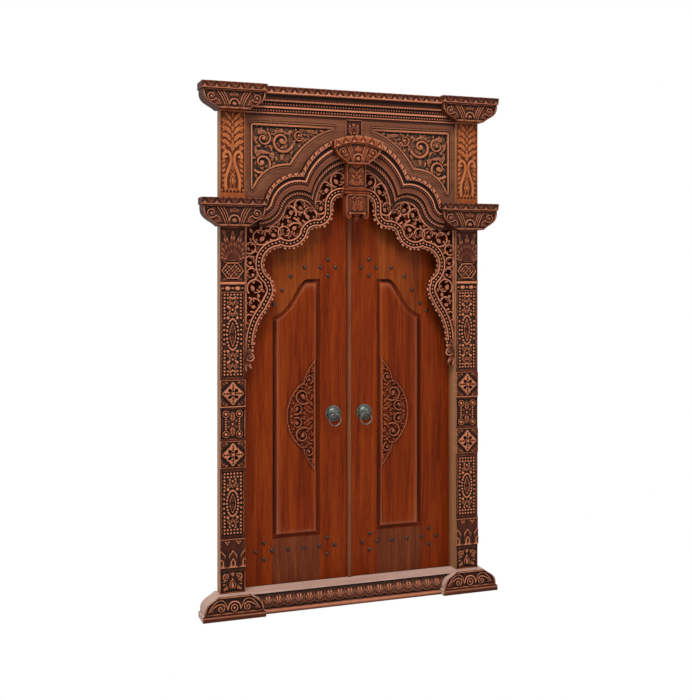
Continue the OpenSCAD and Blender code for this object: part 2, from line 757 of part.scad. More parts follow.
// Places, radii and turns of the scrolls that fill a curtain: x, z, radius, start, hand
fret_scrolls = [
  [76, 236, 44, 300, 1], [150, 190, 42, 120, -1], [176, 104, 40, 200, 1],
  [226, 66, 46, 40, -1], [270, 108, 36, 250, 1], [292, -14, 40, 30, 1],
  [332, 70, 40, 160, -1], [350, -22, 34, 300, 1], [402, -24, 40, 60, -1],
  [470, -44, 44, 210, 1], [520, -96, 34, 20, -1], [518, -160, 30, 250, 1],
  [514, -222, 32, 120, -1], [492, -286, 44, 320, 1], [500, -366, 38, 60, -1],
  [520, -434, 28, 240, 1], [534, -496, 22, 90, -1]
];
fret_leaves = [
  [110, 210, 60, 330], [196, 150, 60, 260], [300, 130, 70, 230], [250, 20, 60, 340],
  [380, 20, 70, 210], [440, 0, 60, 320], [500, 0, 70, 260], [505, -130, 60, 100],
  [480, -250, 60, 30], [470, -330, 60, 300], [530, -400, 50, 110]
];

module fret_border(outer, inner) {
  difference() {
    offset(delta = outer) fret_doorway();
    offset(delta = inner) fret_doorway();
  }
}

fret_drop = stretch * 690;
fret_foot = spring_z - stretch * 560;
fret_edge = 14;

module fret_zone() {
  intersection() {
    offset(delta = -fit - ease) arch_area(1);
    translate([key_half + fit, spring_z - fret_drop])
      square([half - key_half - 2 * fit, fret_drop + crown_z - spring_z]);
  }
}

module fret_scrollwork() {
  for (s = fret_scrolls) scroll(placed(s[0], s[1]), drawn_r(s[2], s[1]), s[3], ribbon_w, s[4]);
  for (l = fret_leaves) leaf(placed(l[0], l[1]), drawn_r(l[2], l[1]), 18, l[3]);
  difference() {
    arch_area(1);
    offset(delta = -fret_edge) arch_area(1);
  }
  translate([half - fret_edge, fret_foot]) square([fret_edge, spring_z - fret_foot + sink]);
}

// Curled leaves in which a curtain's foot ends
module fret_tail() {
  foot = [half, fret_foot];
  scroll(foot + [-28, -58], 22, 70, 8);
  leaf(foot + [-4, 20], 96, 26, 248);
  leaf(foot + [-4, -10], 120, 28, 266);
  leaf(foot + [-14, -30], 60, 18, 225);
  leaf(foot + [-8, -70], 56, 18, 235);
}

module fretwork(side) {
  edge = border_w / 2;
  fillet = 5;
  fringe_pitch = 17;
  color(teak) handed(side) {
    carve(-board_t - sink, fret_t) intersection() {
      fret_zone();
      union() {
        difference() {
          fret_scrollwork();
          offset(delta = edge) fret_doorway();
        }
        fret_border(edge, -edge);
        for (p = beside(spaced(fret_line, fringe_pitch), edge + 1)) translate(p) circle(r = 6, $fn = 8);
        fret_tail();
      }
    }
    carve(fret_front, 4) intersection() {
      fret_zone();
      union() {
        fret_border(edge, edge - fillet);
        fret_border(fillet - edge, -edge);
      }
    }
    for (p = spaced(fret_line, 18))
      if (p[0] > key_half + bead_r + fit && p[0] < half - bead_r - fit)
        bead(p, bead_r - 1, fret_front);
  }
}

// Cornice
cornice_front = -94;
low_band = -48;
high_band = -53;
cornice_section = concat(
  [[0, 0], [-46, 0], [-46, 10], [-52, 10], [-52, 16], [low_band, 16], [low_band, 36], [-58, 36], [-58, 46],
   [high_band, 46], [high_band, 66], [-66, 66], [-66, 76]],
  arc([-90, 78], 22, 0, 80, 6),
  [[cornice_front, 102]]
);

module cornice_beam() {
  top = head_z + block_h - 6;
  tongues = 20;
  reach = post_x - wing_half - slab_over - fit;
  pitch = 2 * reach / tongues;
  color(teak) {
    difference() {
      run(-half + fit, half - fit)
        polygon(concat([for (p = cornice_section) [p[0], beam_z + p[1]]],
                       [[cornice_front, top], [0, top]]));
      for (side = [-1, 1]) translate([side * post_x, 0, head_z - 1]) board(1, -through) {
        polygon(bracket_outline(foot_half + fit, wing_half + fit, block_h - slab_t + 1));
        translate([-wing_half - slab_over - fit, block_h - slab_t])
          square([2 * (wing_half + slab_over + fit), 2 * slab_t]);
      }
    }
    for (i = [0:tongues - 1])
      translate([-reach + (i + 0.5) * pitch, 0, 0]) carve(cornice_front, 3) tongue(pitch - 8, top - 28, 24);
    for (x = [-reach + 30:16:reach - 30]) {
      bead([x, beam_z + 26], bead_r - 1, low_band);
      bead([x, beam_z + 56], bead_r - 1, high_band);
    }
  }
}

// Sill
module sill() {
  shells = 18;
  reach = half - wing_w + 6;
  pitch = 2 * reach / shells;
  band_mid = 0.56 * sill_h;
  color(teak) {
    difference() {
      run(-half, half) polygon([
        [leaf_back, 0], [post_front - 14, 0], [post_front - 14, 16], [post_front - 8, 22],
        [post_front, 22], [post_front, sill_h - 10], [post_front - 8, sill_h - 8],
        [post_front - 8, sill_h], [leaf_back, sill_h]
      ]);
      for (side = [-1, 1]) translate([side * post_x, 0, 0]) board(fit, -through) plinth_face(fit);
    }
    for (i = [0:shells - 1]) {
      x = -reach + (i + 0.5) * pitch;
      translate([x, post_front + 14, band_mid]) sphere(24, $fn = 32);
      if (i > 0) carve(post_front, 4) leaf([x - pitch / 2, band_mid - 24], 48, 12, 90);
    }
  }
}

// Door lining
lining_in = 28;
lining_top = head_z - 120;

module jamb(side) {
  outer = half + post_w - lining_in;
  color(dark_teak) handed(side) linear_extrude(lining_top) polygon([
    [half, 0], [outer, 0], [outer, leaf_back],
    [half + rebate, leaf_back], [half + rebate, lip_d], [half, lip_d]
  ]);
}

module head_jamb() {
  color(dark_teak) {
    box([-half, 0, leaf_top - rebate], [half, lip_d, lining_top]);
    box([-half - rebate, lip_d, leaf_top + leaf_gap], [half + rebate, leaf_back, lining_top]);
  }
}

// Leaves
// A panel's outline, moved in by inset all round
function panel_outline(inset) =
  let (low = panel_z + inset, high = panel_top - inset,
       near = panel_in + inset, far = panel_out - inset, shoulder = panel_top - ogee_drop)
    concat([[near, low], [far, low]],
           bezier([[far, shoulder - 0.8 * inset],
                   [panel_in + 140 - 0.7 * inset, shoulder + 20 - 0.9 * inset],
                   [panel_in + 120 - 0.4 * inset, high], [panel_in + 60, high]], 12),
           [[near, high]]);
tongue_front = leaf_front + 14;
tongue_back = leaf_front + 26;
panel_fit = 0.5;

module panel_groove() {
  board(tongue_back + fit, tongue_front - fit) polygon(panel_outline(-groove_d - panel_fit));
}

module hinge_stile(side) {
  color(red_teak) handed(side) difference() {
    box([panel_out, leaf_front, leaf_z], [leaf_out, leaf_back, leaf_top]);
    panel_groove();
  }
}

// Inner edge of a leaf: the right leaf reaches past the middle
function leaf_in(side) = side > 0 ? meet_gap / 2 - meet_off : meet_gap / 2 + meet_off;

module meeting_stile(side) {
  color(red_teak) handed(side) difference() {
    box([leaf_in(side), leaf_front, leaf_z], [panel_in, leaf_back, leaf_top]);
    panel_groove();
  }
}

module top_rail(side) {
  edge = panel_outline(0);
  color(red_teak) handed(side) difference() {
    board(leaf_back, leaf_front)
      polygon(concat([for (i = [2:len(edge) - 1]) edge[i]], [[panel_in, leaf_top], [panel_out, leaf_top]]));
    panel_groove();
  }
}

module bottom_rail(side) {
  color(red_teak) handed(side) difference() {
    box([panel_in, leaf_front, leaf_z], [panel_out, leaf_back, panel_z]);
    panel_groove();
  }
}

// Half-moon carving: a bow with a pointed tip at each end
moon_edge = panel_in + 26;
moon_z = pull_z - 5;
module half_moon() {
  chord = 0.288 * moon_h;
  bow = 0.52 * moon_w;
  r = (chord * chord + bow * bow) / (2 * bow);
  a = asin(chord / r);
  bulge = arc([moon_edge + moon_w - r, moon_z], r, -a, a, 14);
  shoulder = [moon_edge + moon_w - bow - 10, moon_z + chord];
  tip = bezier([shoulder, shoulder + [-2, 46], [moon_edge + 24, moon_z + 0.43 * moon_h],
                [moon_edge, moon_z + moon_h / 2]], 6);
  low_tip = [for (p = turned(tip)) [p[0], 2 * moon_z - p[1]]];
  polygon(concat(low_tip, bulge, tip));
}

module moon_ornament() {
  for (s = [-1, 1]) translate([moon_edge, moon_z]) scale([1, s]) {
    scroll([62, 96], 42, 230, ribbon_w);
    scroll([92, 36], 30, 60, 8, -1);
    scroll([30, 178], 24, 100, 7, -1);
    scroll([22, 130], 18, 200, 6);
    leaf([6, 8], 74, 26, 35);
    leaf([4, 60], 60, 20, 60);
    leaf([50, 140], 56, 18, 70);
    leaf([6, 200], 56, 14, 82);
    leaf([112, 12], 70, 20, 110);
  }
}

module panel(side) {
  field = leaf_front + 1;
  rim_w = 5;
  color(red_teak) handed(side) {
    board(tongue_back, tongue_front) polygon(panel_outline(-groove_d));
    board(leaf_back - 6, leaf_front + 6) polygon(panel_outline(panel_fit));
    board(leaf_back - 6, field) polygon(panel_outline(24));
    carve(field, 7) difference() {
      half_moon();
      offset(delta = -rim_w) half_moon();
    }
    carve(field, 6) intersection() {
      moon_ornament();
      offset(delta = -rim_w + 1) half_moon();
    }
  }
}

module meeting_bead() {
  near = leaf_in(1);
  mid = near + cover_w / 2;
  top = leaf_top - rebate - leaf_gap;
  color(red_teak) translate([0, leaf_front, leaf_z]) linear_extrude(top - leaf_z)
    polygon(concat([[near, 0]], arc([mid, -2], cover_w / 2 - 2, 180, 360, 8), [[near + cover_w, 0]]));
}

// Ironwork
// Studs: a diamond and a row that follows the ogee, and two diamonds joined by a row at the foot
stud_step = 40;
function diamond(x, z) = [[x - stud_step, z], [x + stud_step, z], [x, z - stud_step], [x, z + stud_step]];
low_z = panel_z - 54;
high_z = panel_top + 57;
stud_places = concat(
  diamond(panel_in - 42, high_z),
  [[panel_in + 78, high_z], [panel_in + 150, high_z - 44], [panel_in + 192, high_z - 111],
   [panel_out - 7, high_z - 179], [panel_out + 32, high_z - 218]],
  diamond(panel_in - 38, low_z), [[panel_in + 82, low_z], [panel_in + 163, low_z]],
  diamond(panel_out + 43, low_z)
);

module studs(side) {
  dome_h = 0.65 * stud_r;
  color(iron) handed(side) for (p = stud_places)
    translate([p[0], leaf_front, p[1]]) rotate([90, 0, 0]) rotate_extrude()
      polygon(concat([[0, 0], [stud_r, 0]], [for (a = [15:15:75]) [stud_r * cos(a), 1 + dome_h * sin(a)]],
                     [[0, dome_h + 1]]));
}

module at_pull(side) {
  handed(side) translate([pull_x, leaf_front, pull_z]) rotate([90, 0, 0]) children();
}

module pull_rose(side) {
  bore_r = wire_r + eye_fit;
  lug_r = bore_r + 3.6;
  lug_t = 6;
  dome_r = rose_r - 5;
  dome_h = eye_out - lug_r - 3;
  color(iron) at_pull(side) {
    rotate_extrude() polygon(concat(
      [[0, 0], [rose_r, 0], [rose_r, 2.5], [dome_r, 4]],
      [for (a = [10:10:80]) [dome_r * cos(a), 4 + dome_h * sin(a)]], [[0, 4 + dome_h]]));
    difference() {
      union() {
        translate([0, 0, eye_out]) rotate([0, 90, 0]) cylinder(r = lug_r, h = lug_t, center = true);
        box([-lug_t / 2, -lug_r, dome_h - 2], [lug_t / 2, lug_r, eye_out]);
      }
      translate([0, 0, eye_out]) rotate([0, 90, 0]) cylinder(r = bore_r, h = 2 * lug_t, center = true);
    }
  }
}

module pull_ring(side) {
  color(iron) at_pull(side) translate([0, -ring_r, eye_out])
    rotate_extrude() translate([ring_r, 0]) circle(wire_r);
}

// Butt hinges on the back: knuckles turn round a pin at the leaf's outer edge
hinge_inset = 230;
hinge_zs = [leaf_z + hinge_inset, (leaf_z + leaf_top) / 2, leaf_top - hinge_inset];
hinge_x = half + rebate;
hinge_y = leaf_back + knuckle_r + 0.25;
knuckle_gap = 0.5;

knuckle_h = hinge_l / 3 - knuckle_gap;

// Half of a hinge, on one side of its pin: a plate with tabs that carry bored knuckles
module hinge_half(dir, z, lows) {
  clear = knuckle_r + knuckle_gap;
  translate([hinge_x, 0, 0]) handed(dir) {
    box([clear, leaf_back, z - hinge_l / 2], [plate_w, leaf_back + plate_t, z + hinge_l / 2]);
    for (low = lows) difference() {
      union() {
        box([1, leaf_back, low], [clear + 1, leaf_back + plate_t, low + knuckle_h]);
        translate([0, hinge_y, low]) cylinder(r = knuckle_r, h = knuckle_h);
      }
      translate([0, hinge_y, low - 1]) cylinder(r = pin_r + pin_fit, h = knuckle_h + 2);
    }
  }
}

module hinge_frame(side) {
  color(iron) handed(side) for (z = hinge_zs)
    hinge_half(1, z, [z - hinge_l / 2, z + hinge_l / 2 - knuckle_h]);
}

module hinge_leaf(side) {
  color(iron) handed(side) for (z = hinge_zs) hinge_half(-1, z, [z - knuckle_h / 2]);
}

module hinge_pins(side) {
  color(iron) handed(side) for (z = hinge_zs) {
    translate([hinge_x, hinge_y, z - hinge_l / 2]) cylinder(r = pin_r, h = hinge_l + 1);
    translate([hinge_x, hinge_y, z + hinge_l / 2 + 0.3]) cylinder(r = knuckle_r - 0.5, h = 3);
  }
}

sill();
plinth(-1);  // plinth_left
plinth(1);  // plinth_right
post(-1);  // post_left
post(1);  // post_right
capital(-1);  // capital_left
capital(1);  // capital_right
transom_board();
arch(-1);  // arch_left
arch(1);  // arch_right
spandrel(-1);  // spandrel_left
spandrel(1);  // spandrel_right
centre_block();
keystone_corbel();
keystone_shaft();
pendant_drop();
fretwork(-1);  // fretwork_left
fretwork(1);  // fretwork_right
cornice_beam();
cornice_block(-1);  // cornice_block_left
cornice_block(1);  // cornice_block_right
jamb(-1);  // jamb_left
jamb(1);  // jamb_right
head_jamb();
hinge_frame(-1);  // hinge_frame_left
hinge_frame(1);  // hinge_frame_right
hinge_pins(-1);  // hinge_pins_left
hinge_pins(1);  // hinge_pins_right
hinge_stile(-1);  // left_hinge_stile
meeting_stile(-1);  // left_meeting_stile
top_rail(-1);  // left_top_rail
bottom_rail(-1);  // left_bottom_rail
panel(-1);  // left_panel
hinge_leaf(-1);  // left_hinge_leaf
studs(-1);  // left_studs
pull_rose(-1);  // left_pull_rose
pull_ring(-1);  // left_pull_ring
hinge_stile(1);  // right_hinge_stile
meeting_stile(1);  // right_meeting_stile
top_rail(1);  // right_top_rail
bottom_rail(1);  // right_bottom_rail
panel(1);  // right_panel
hinge_leaf(1);  // right_hinge_leaf
studs(1);  // right_studs
pull_rose(1);  // right_pull_rose
pull_ring(1);  // right_pull_ring
meeting_bead();  // right_meeting_bead
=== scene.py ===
import math
from contextlib import contextmanager

import bpy
import numpy as np
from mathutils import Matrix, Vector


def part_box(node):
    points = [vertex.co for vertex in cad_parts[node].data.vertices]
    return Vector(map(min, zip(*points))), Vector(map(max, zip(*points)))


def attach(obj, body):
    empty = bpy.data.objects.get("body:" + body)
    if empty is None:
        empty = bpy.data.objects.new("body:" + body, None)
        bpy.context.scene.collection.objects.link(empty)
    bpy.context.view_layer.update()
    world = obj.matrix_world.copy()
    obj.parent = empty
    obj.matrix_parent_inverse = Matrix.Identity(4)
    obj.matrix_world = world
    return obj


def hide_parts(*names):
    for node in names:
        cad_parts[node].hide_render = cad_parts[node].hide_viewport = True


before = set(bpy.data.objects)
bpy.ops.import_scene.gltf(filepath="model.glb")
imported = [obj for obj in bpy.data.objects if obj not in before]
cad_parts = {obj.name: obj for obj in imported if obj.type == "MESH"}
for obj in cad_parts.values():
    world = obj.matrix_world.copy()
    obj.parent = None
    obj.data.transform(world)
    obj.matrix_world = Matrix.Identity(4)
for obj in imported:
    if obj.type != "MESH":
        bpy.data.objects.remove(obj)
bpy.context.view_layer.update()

# Camera, light and ground
# A standing viewer looks level at the door from its left, in soft daylight.
# Ground and background are plain white.
WHITE = (1, 1, 1, 1)
scene = bpy.context.scene
scene.view_settings.view_transform = "Standard"

photo_lens = bpy.data.cameras.new("photo_camera")
photo_lens.sensor_width = 36
photo_lens.lens = 52.8
photo_lens.shift_x = 0.0019
photo_lens.shift_y = -0.109
photo_camera = bpy.data.objects.new("photo_camera", photo_lens)
photo_camera.location = (-1.7272, -4.7681, 1.6088)
photo_camera.rotation_euler = (math.radians(90), 0, math.radians(-19.6))
scene.collection.objects.link(photo_camera)
scene.camera = photo_camera


def tone(red, green, blue):
    """A display colour, 0 to 255, as the linear colour that shaders take."""
    return tuple(((c / 255 + 0.055) / 1.055) ** 2.4 for c in (red, green, blue)) + (1.0,)


def wire(tree, node, inputs):
    """Sets a node's inputs by name or number; another node's output is linked."""
    for key, value in inputs.items():
        if isinstance(value, bpy.types.NodeSocket):
            tree.links.new(value, node.inputs[key])
        else:
            node.inputs[key].default_value = value
    return node


def add_node(tree, kind, inputs, **settings):
    node = tree.nodes.new("ShaderNode" + kind)
    for setting, value in settings.items():
        setattr(node, setting, value)
    return wire(tree, node, inputs)


def new_material(name):
    material = bpy.data.materials.new(name)
    material.use_nodes = True
    return material, material.node_tree


def show_white(tree, lit, kind, output):
    """White on rays from the camera, a mirror or a glass; the lit shader for light that falls on things."""
    path = add_node(tree, "LightPath", {})
    seen = path.outputs["Is Camera Ray"]
    for ray in ("Is Glossy Ray", "Is Transmission Ray"):
        seen = add_node(tree, "Math", {0: seen, 1: path.outputs[ray]}, operation="MAXIMUM").outputs[0]
    white = add_node(tree, kind, {"Color": WHITE})
    mix = add_node(tree, "MixShader", {"Fac": seen, 1: lit.outputs[0], 2: white.outputs[0]})
    wire(tree, tree.nodes[output], {"Surface": mix.outputs[0]})


def window_light(name, place, aim, size, power):
    data = bpy.data.lights.new(name, "AREA")
    data.size = size
    data.energy = power
    light = bpy.data.objects.new(name, data)
    light.location = place
    toward = np.array(aim) - np.array(place)
    level = math.hypot(toward[0], toward[1])
    light.rotation_euler = (math.atan2(level, -toward[2]), 0, math.atan2(-toward[0], toward[1]))
    scene.collection.objects.link(light)


def fresh(name, add, **settings):
    """A new object from a primitive, the only one selected."""
    bpy.ops.object.select_all(action="DESELECT")
    add(**settings)
    bpy.context.object.name = name
    return bpy.context.object


scene.world = bpy.data.worlds.new("daylight")
scene.world.use_nodes = True
tree = scene.world.node_tree
sky = wire(tree, tree.nodes["Background"], {"Color": tone(238, 244, 255), "Strength": 0.42})
show_white(tree, sky, "Background", "World Output")
window_light("high_window", (-1.3, -2.6, 5.4), (0, 0, 1.3), 2.4, 300)
window_light("side_window", (2.8, -4.6, 2.4), (0, 0, 1.2), 2.6, 45)

ground = fresh("ground", bpy.ops.mesh.primitive_plane_add, size=14, location=(0, 0, 0))
paint, tree = new_material("white_ground")
matt = wire(tree, tree.nodes["Principled BSDF"], {"Base Color": tone(252, 252, 252), "Roughness": 0.9})
show_white(tree, matt, "Emission", "Material Output")
ground.data.materials.append(paint)

# Sill
# A teak threshold between the plinths: a moulded foot, a sunk band with a row of
# fluted shells, and a plain ledge, paler from wear and from painted light from above.
# Its carver's face is set in front of a board.
MM = 0.001
FIT = 0.3
CREASE = 50
highest, lowest = np.maximum.reduce, np.minimum.reduce


def span(node):
    """A node's lowest and highest corners, in millimetres."""
    return [np.array(corner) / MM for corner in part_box(node)]


def ramp(tree, value, stops):
    node = add_node(tree, "ValToRGB", {"Fac": value})
    elements = node.color_ramp.elements
    elements.remove(elements[1])
    for number, (at, colour) in enumerate(stops):
        element = elements.new(at) if number else elements[0]
        element.position = at
        element.color = colour
    return node.outputs["Color"]


def finish_shader(tree, colour, patches, polish, relief, strength, deep, more):
    """Gives the shader its colour, a polish that wanders between two values, and a fine relief."""
    wander = add_node(tree, "MapRange", {"Value": patches, "To Min": polish[0], "To Max": polish[1]})
    bump = add_node(tree, "Bump", {"Height": relief, "Strength": strength, "Distance": deep * MM})
    wire(tree, tree.nodes["Principled BSDF"], {
        "Base Color": colour, "Roughness": wander.outputs["Result"], "Normal": bump.outputs["Normal"]} | more)


def wood(name, deep, body, pale, along="z", worn_and_highlight=None, hollow_shade=(25.46, 15.56, 9.89), streaks=0.5, rough=0.55,
         gloss=0.1):
    """Teak: long grain in three tones; where a pale edge colour is given, hollows get a painted shade and
    proud edges a pale colour that is partly wear and partly painted highlight.
    """
    timber, tree = new_material(name)
    place = add_node(tree, "TexCoord", {}).outputs["Object"]

    def grain(across, length, detail):
        scale = [length if axis == along else across for axis in "xyz"]
        stretch = add_node(tree, "Mapping", {"Vector": place, "Scale": scale})
        return add_node(tree, "TexNoise", {
            "Vector": stretch.outputs[0], "Scale": 1, "Detail": detail, "Roughness": 0.6, "Distortion": 0.6,
        }).outputs["Fac"]

    def blend(share, first, second):
        inputs = {"Factor": share, "A": first, "B": second}
        return add_node(tree, "Mix", inputs, data_type="RGBA").outputs["Result"]

    def grey(value):
        return (value, value, value, 1)

    fine, broad = grain(330, 9, 7), grain(26, 1.3, 4)
    both = add_node(tree, "Mix", {"Factor": streaks, "A": fine, "B": broad}).outputs["Result"]
    colour = ramp(tree, both, [(0.30, tone(*deep)), (0.48, tone(*body)), (0.70, tone(*pale))])
    if worn_and_highlight:
        proud = add_node(tree, "Attribute", {}, attribute_name="proud").outputs["Fac"]
        # Painted shade: hollows, where the proud mark is low, are darkened towards the shade colour.
        unshaded_share = ramp(tree, proud, [(0.12, grey(0)), (0.34, grey(0.55)), (0.54, grey(1))])
        # Painted highlight with wear: proud edges are lightened towards the pale edge colour.
        pale_marks = ramp(tree, proud, [(0.60, grey(0)), (0.98, grey(0.7))])
        colour = blend(pale_marks, blend(unshaded_share, tone(*hollow_shade), colour), tone(*worn_and_highlight))
    polish = (rough - 0.1, rough + 0.14)
    finish_shader(tree, colour, broad, polish, fine, strength=0.25, deep=0.6,
                  more={"Specular IOR Level": gloss})
    return timber


@contextmanager
def editing():
    bpy.ops.object.mode_set(mode="EDIT")
    yield bpy.ops.mesh
    bpy.ops.object.mode_set(mode="OBJECT")


def places_of(piece):
    """A piece's points in millimetres, one a row."""
    places = np.zeros(3 * len(piece.data.vertices))
    piece.data.vertices.foreach_get("co", places)
    return places.reshape(-1, 3) / MM


def set_places(piece, places):
    piece.data.vertices.foreach_set("co", (places * MM).ravel())


def set_proud(piece, values):
    """Marks how far each point stands out from what is round it: 0 sunk, 0.5 flat, 1 proud; the carved woods
    paint shade on sunk points and highlight on proud ones.
    """
    shade = piece.data.attributes.new("proud", "FLOAT", "POINT")
    shade.data.foreach_set("value", values)


def smoothed(values, width):
    """Values on a grid, averaged over a square of the given width in cells."""
    for axis in (0, 1):
        padded = np.pad(np.moveaxis(values, axis, 0), ((width + 1, width), (0, 0)), mode="edge")
        sums = np.cumsum(padded, axis=0)
        values = np.moveaxis((sums[2 * width + 1:] - sums[:-2 * width - 1]) / (2 * width + 1), 0, axis)
    return values


def grid(rows, columns):
    """Heights and places across for every point of a face, row by row from below."""
    return np.meshgrid(rows, columns, indexing="ij")


def grid_piece(name, x, z, front):
    """A sheet on a grid of places, its face at the depths in front."""
    rows, columns = front.shape
    piece = fresh(name, bpy.ops.mesh.primitive_grid_add, x_subdivisions=columns - 1, y_subdivisions=rows - 1)
    set_places(piece, np.stack([x, front, z], axis=-1))
    reach, depth = 4, 7
    wide = smoothed(smoothed(-front, reach), reach)
    # This proud mark drives the painted shade in hollows and the painted highlight on edges of the carved
    # woods.
    set_proud(piece, np.clip(0.5 + (-front - wide) / depth, 0, 1).ravel())
    return piece


def set_depth_of_selected(piece, depth):
    """Sets the selected points, a piece's back, at one depth; a back is marked flat, so it gets neither
    painted shade nor painted highlight.
    """
    mesh = piece.data
    chosen = np.zeros(len(mesh.vertices), bool)
    mesh.vertices.foreach_get("select", chosen)
    places = places_of(piece)
    places[chosen, 1] = depth
    set_places(piece, places)
    shade = np.zeros(len(chosen))
    mesh.attributes["proud"].data.foreach_get("value", shade)
    shade[chosen] = 0.5
    mesh.attributes["proud"].data.foreach_set("value", shade)


def smooth_outside():
    """Turns the active piece's faces outwards and shades it smooth, but for its sharp edges."""
    with editing() as mesh:
        mesh.select_all(action="SELECT")
        mesh.normals_make_consistent(inside=False)
    bpy.ops.object.shade_smooth_by_angle(angle=math.radians(CREASE))


def carved(name, x, z, front, back):
    """A timber with a carved face: the face's rim is drawn back to a flat back, which is filled."""
    piece = grid_piece(name, x, z, front)
    with editing() as mesh:
        mesh.select_all(action="SELECT")
        mesh.region_to_loop()
        mesh.extrude_edges_indiv()
    set_depth_of_selected(piece, back)
    with editing() as mesh:
        mesh.edge_face_add()
    walls = np.zeros(len(piece.data.polygons), np.int32)
    walls[(front.shape[0] - 1) * (front.shape[1] - 1):] = 1
    piece.data.polygons.foreach_set("material_index", walls)
    smooth_outside()
    return piece


def plank(name, low, high, round_over=1.5):
    """A plain board between two corners, its edges eased."""
    piece = fresh(name, bpy.ops.mesh.primitive_cube_add, size=1)
    set_places(piece, np.where(places_of(piece) < 0, low, high))
    with editing() as mesh:
        mesh.select_all(action="SELECT")
        mesh.bevel(offset=round_over * MM, segments=2)
    set_proud(piece, [0.5] * len(piece.data.vertices))
    return piece


def joined(piece, other):
    bpy.ops.object.select_all(action="DESELECT")
    other.select_set(True)
    piece.select_set(True)
    bpy.context.view_layer.objects.active = piece
    bpy.ops.object.join()
    return piece


def settle(piece, material, node, body="frame", sides=None):
    """Gives a finished piece its wood and its place in the door."""
    piece.data.materials.append(material)
    piece.data.materials.append(sides or material)
    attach(piece, body)
    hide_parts(node)


def dome(f, r, h):
    """Height of a rounded form of half width r, where f is the distance in from its edge."""
    return h * np.sqrt(np.clip(1 - (1 - np.clip(f / r, 0, 1)) ** 2, 0, 1))


def from_nearest(x, pitch):
    """How far x is from the nearest multiple of a pitch."""
    return ((x / pitch + 0.5) % 1 - 0.5) * pitch


def bracket_half(z, foot, wing, height):
    """Half width of a scroll-cut bracket at height z: it swells from foot to wing."""
    t = np.linspace(0, 1, 60)
    s = 1 - t
    across = foot + (wing - foot) * (1.05 * s * s * t + 3 * s * t * t + t ** 3)
    up = height * (0.84 * s * s * t + 0.96 * s * t * t + 0.85 * t ** 3)
    return np.interp(z, up, across)


sill_high = span("sill")[1]
plinth_low, plinth_high = span("plinth_right")
open_half = sill_high[0]
post_mid = (plinth_low[0] + plinth_high[0]) / 2
post_half = post_mid - open_half
wing_half = plinth_high[0] - post_mid
foot_half = post_half + 15
PLINTH_TOE = 26
SHELLS, SHELL_R = 18, 23
LEDGE = 97
SILL_SECTION = [(0, -76), (15, -76), (21, -70), (22, -62), (95, -62), (LEDGE, -70), (105, -70)]


def plinth_half(z):
    swell = bracket_half(plinth_high[2] - z, foot_half, wing_half - 8, plinth_high[2] - PLINTH_TOE)
    return np.where(z < PLINTH_TOE, wing_half, swell)


def sill_face(x, z):
    depth = np.interp(z, *zip(*SILL_SECTION))
    reach = open_half - 84
    pitch = 2 * reach / SHELLS
    side = abs(from_nearest(x + reach - pitch / 2, pitch))
    up = z - 0.56 * sill_high[2]
    far = np.hypot(side, up)
    flutes = 0.72 + 0.28 * np.cos(14 * np.arctan2(up + 20, side))
    shell = dome(SHELL_R - far, SHELL_R, 10) * flutes
    tip = dome(7 - 7 * abs(up) / 26 - abs(side - pitch / 2), 6, 5)
    scallop = dome(6 - abs(far - 30), 4, 3.5) * (up < 4)
    return depth - highest([shell, tip, scallop]) * (abs(up) < 36)


# Pale edge colour of the carved woods: partly wear, partly a painted highlight on proud edges; the sill also
# gets painted shade in its hollows.
WORN_AND_HIGHLIGHT = (206, 130, 96)
sill_teak = wood("sill_teak", (56, 28, 18), (96, 52, 36), (126, 76, 56), along="x", worn_and_highlight=WORN_AND_HIGHLIGHT)
# Paler ledge wood: partly wear, partly painted light from above.
worn_and_lit_ledge_teak = wood("worn_and_lit_ledge_teak", (148, 111, 97), (180, 146, 130), (202, 172, 156), along="x")
z, across = grid(np.linspace(0, sill_high[2], 46), np.linspace(-1, 1, 400))
x = across * (post_mid - plinth_half(z) - FIT)
sill = carved("sill_carved", x, z, sill_face(x, z), 0)
sill = joined(sill, plank("sill_board", (-open_half, 0, 0), sill_high))
settle(sill, sill_teak, "sill", sides=worn_and_lit_ledge_teak)
# The ledge band above LEDGE height, but for its back, takes the paler wood: partly wear, partly painted light
# from above.
for face in sill.data.polygons:
    face.material_index = int(face.center.z > LEDGE * MM and face.normal.y < 0.7)

# Plinths
# Blocks of teak under the posts, scroll-cut at the sides, with a carved lunette of
# an eye between two curled leaves over a plain slab.
BLOCK_FACE = plinth_low[1] + 6
CARVED_DEEP = 9
RIM = 8
SIDES = {"left": -1, "right": 1}


def leaf_lines(x, z, at, angle):
    """Distances along a leaf from its foot, and off its middle line."""
    c, s = math.cos(math.radians(angle)), math.sin(math.radians(angle))
    across, up = x - at[0], z - at[1]
    return across * c + up * s, abs(up * c - across * s)


def leaf_reach(x, z, at, length, width, angle, bulge=1):
    """Distance in from the edge of a pointed leaf that grows from a place at an angle."""
    along, off = leaf_lines(x, z, at, angle)
    t = along / length
    return np.where((t > 0) & (t < 1), width / 2 * np.sin(math.pi * np.clip(t, 0, 1) ** bulge), -6) - off


def leaf(x, z, at, length, width, angle, h, bulge=1):
    """A carved leaf: rounded, with a middle vein and side veins. Bulge under 1 is widest near its foot."""
    along, off = leaf_lines(x, z, at, angle)
    veins = 0.86 + 0.14 * np.cos(2 * math.pi * (along - 0.9 * off) / (0.2 * length + 3))
    groove = 1 - 0.45 * np.exp(-(off / (0.09 * width + 0.6)) ** 2)
    return dome(leaf_reach(x, z, at, length, width, angle, bulge), 0.5 * width, h) * veins * groove


def leaves(x, z, h, rows):
    """Leaves of height h, each a row of place across and up, length, width and angle."""
    return highest([leaf(x, z, row[:2], *row[2:], h) for row in rows])


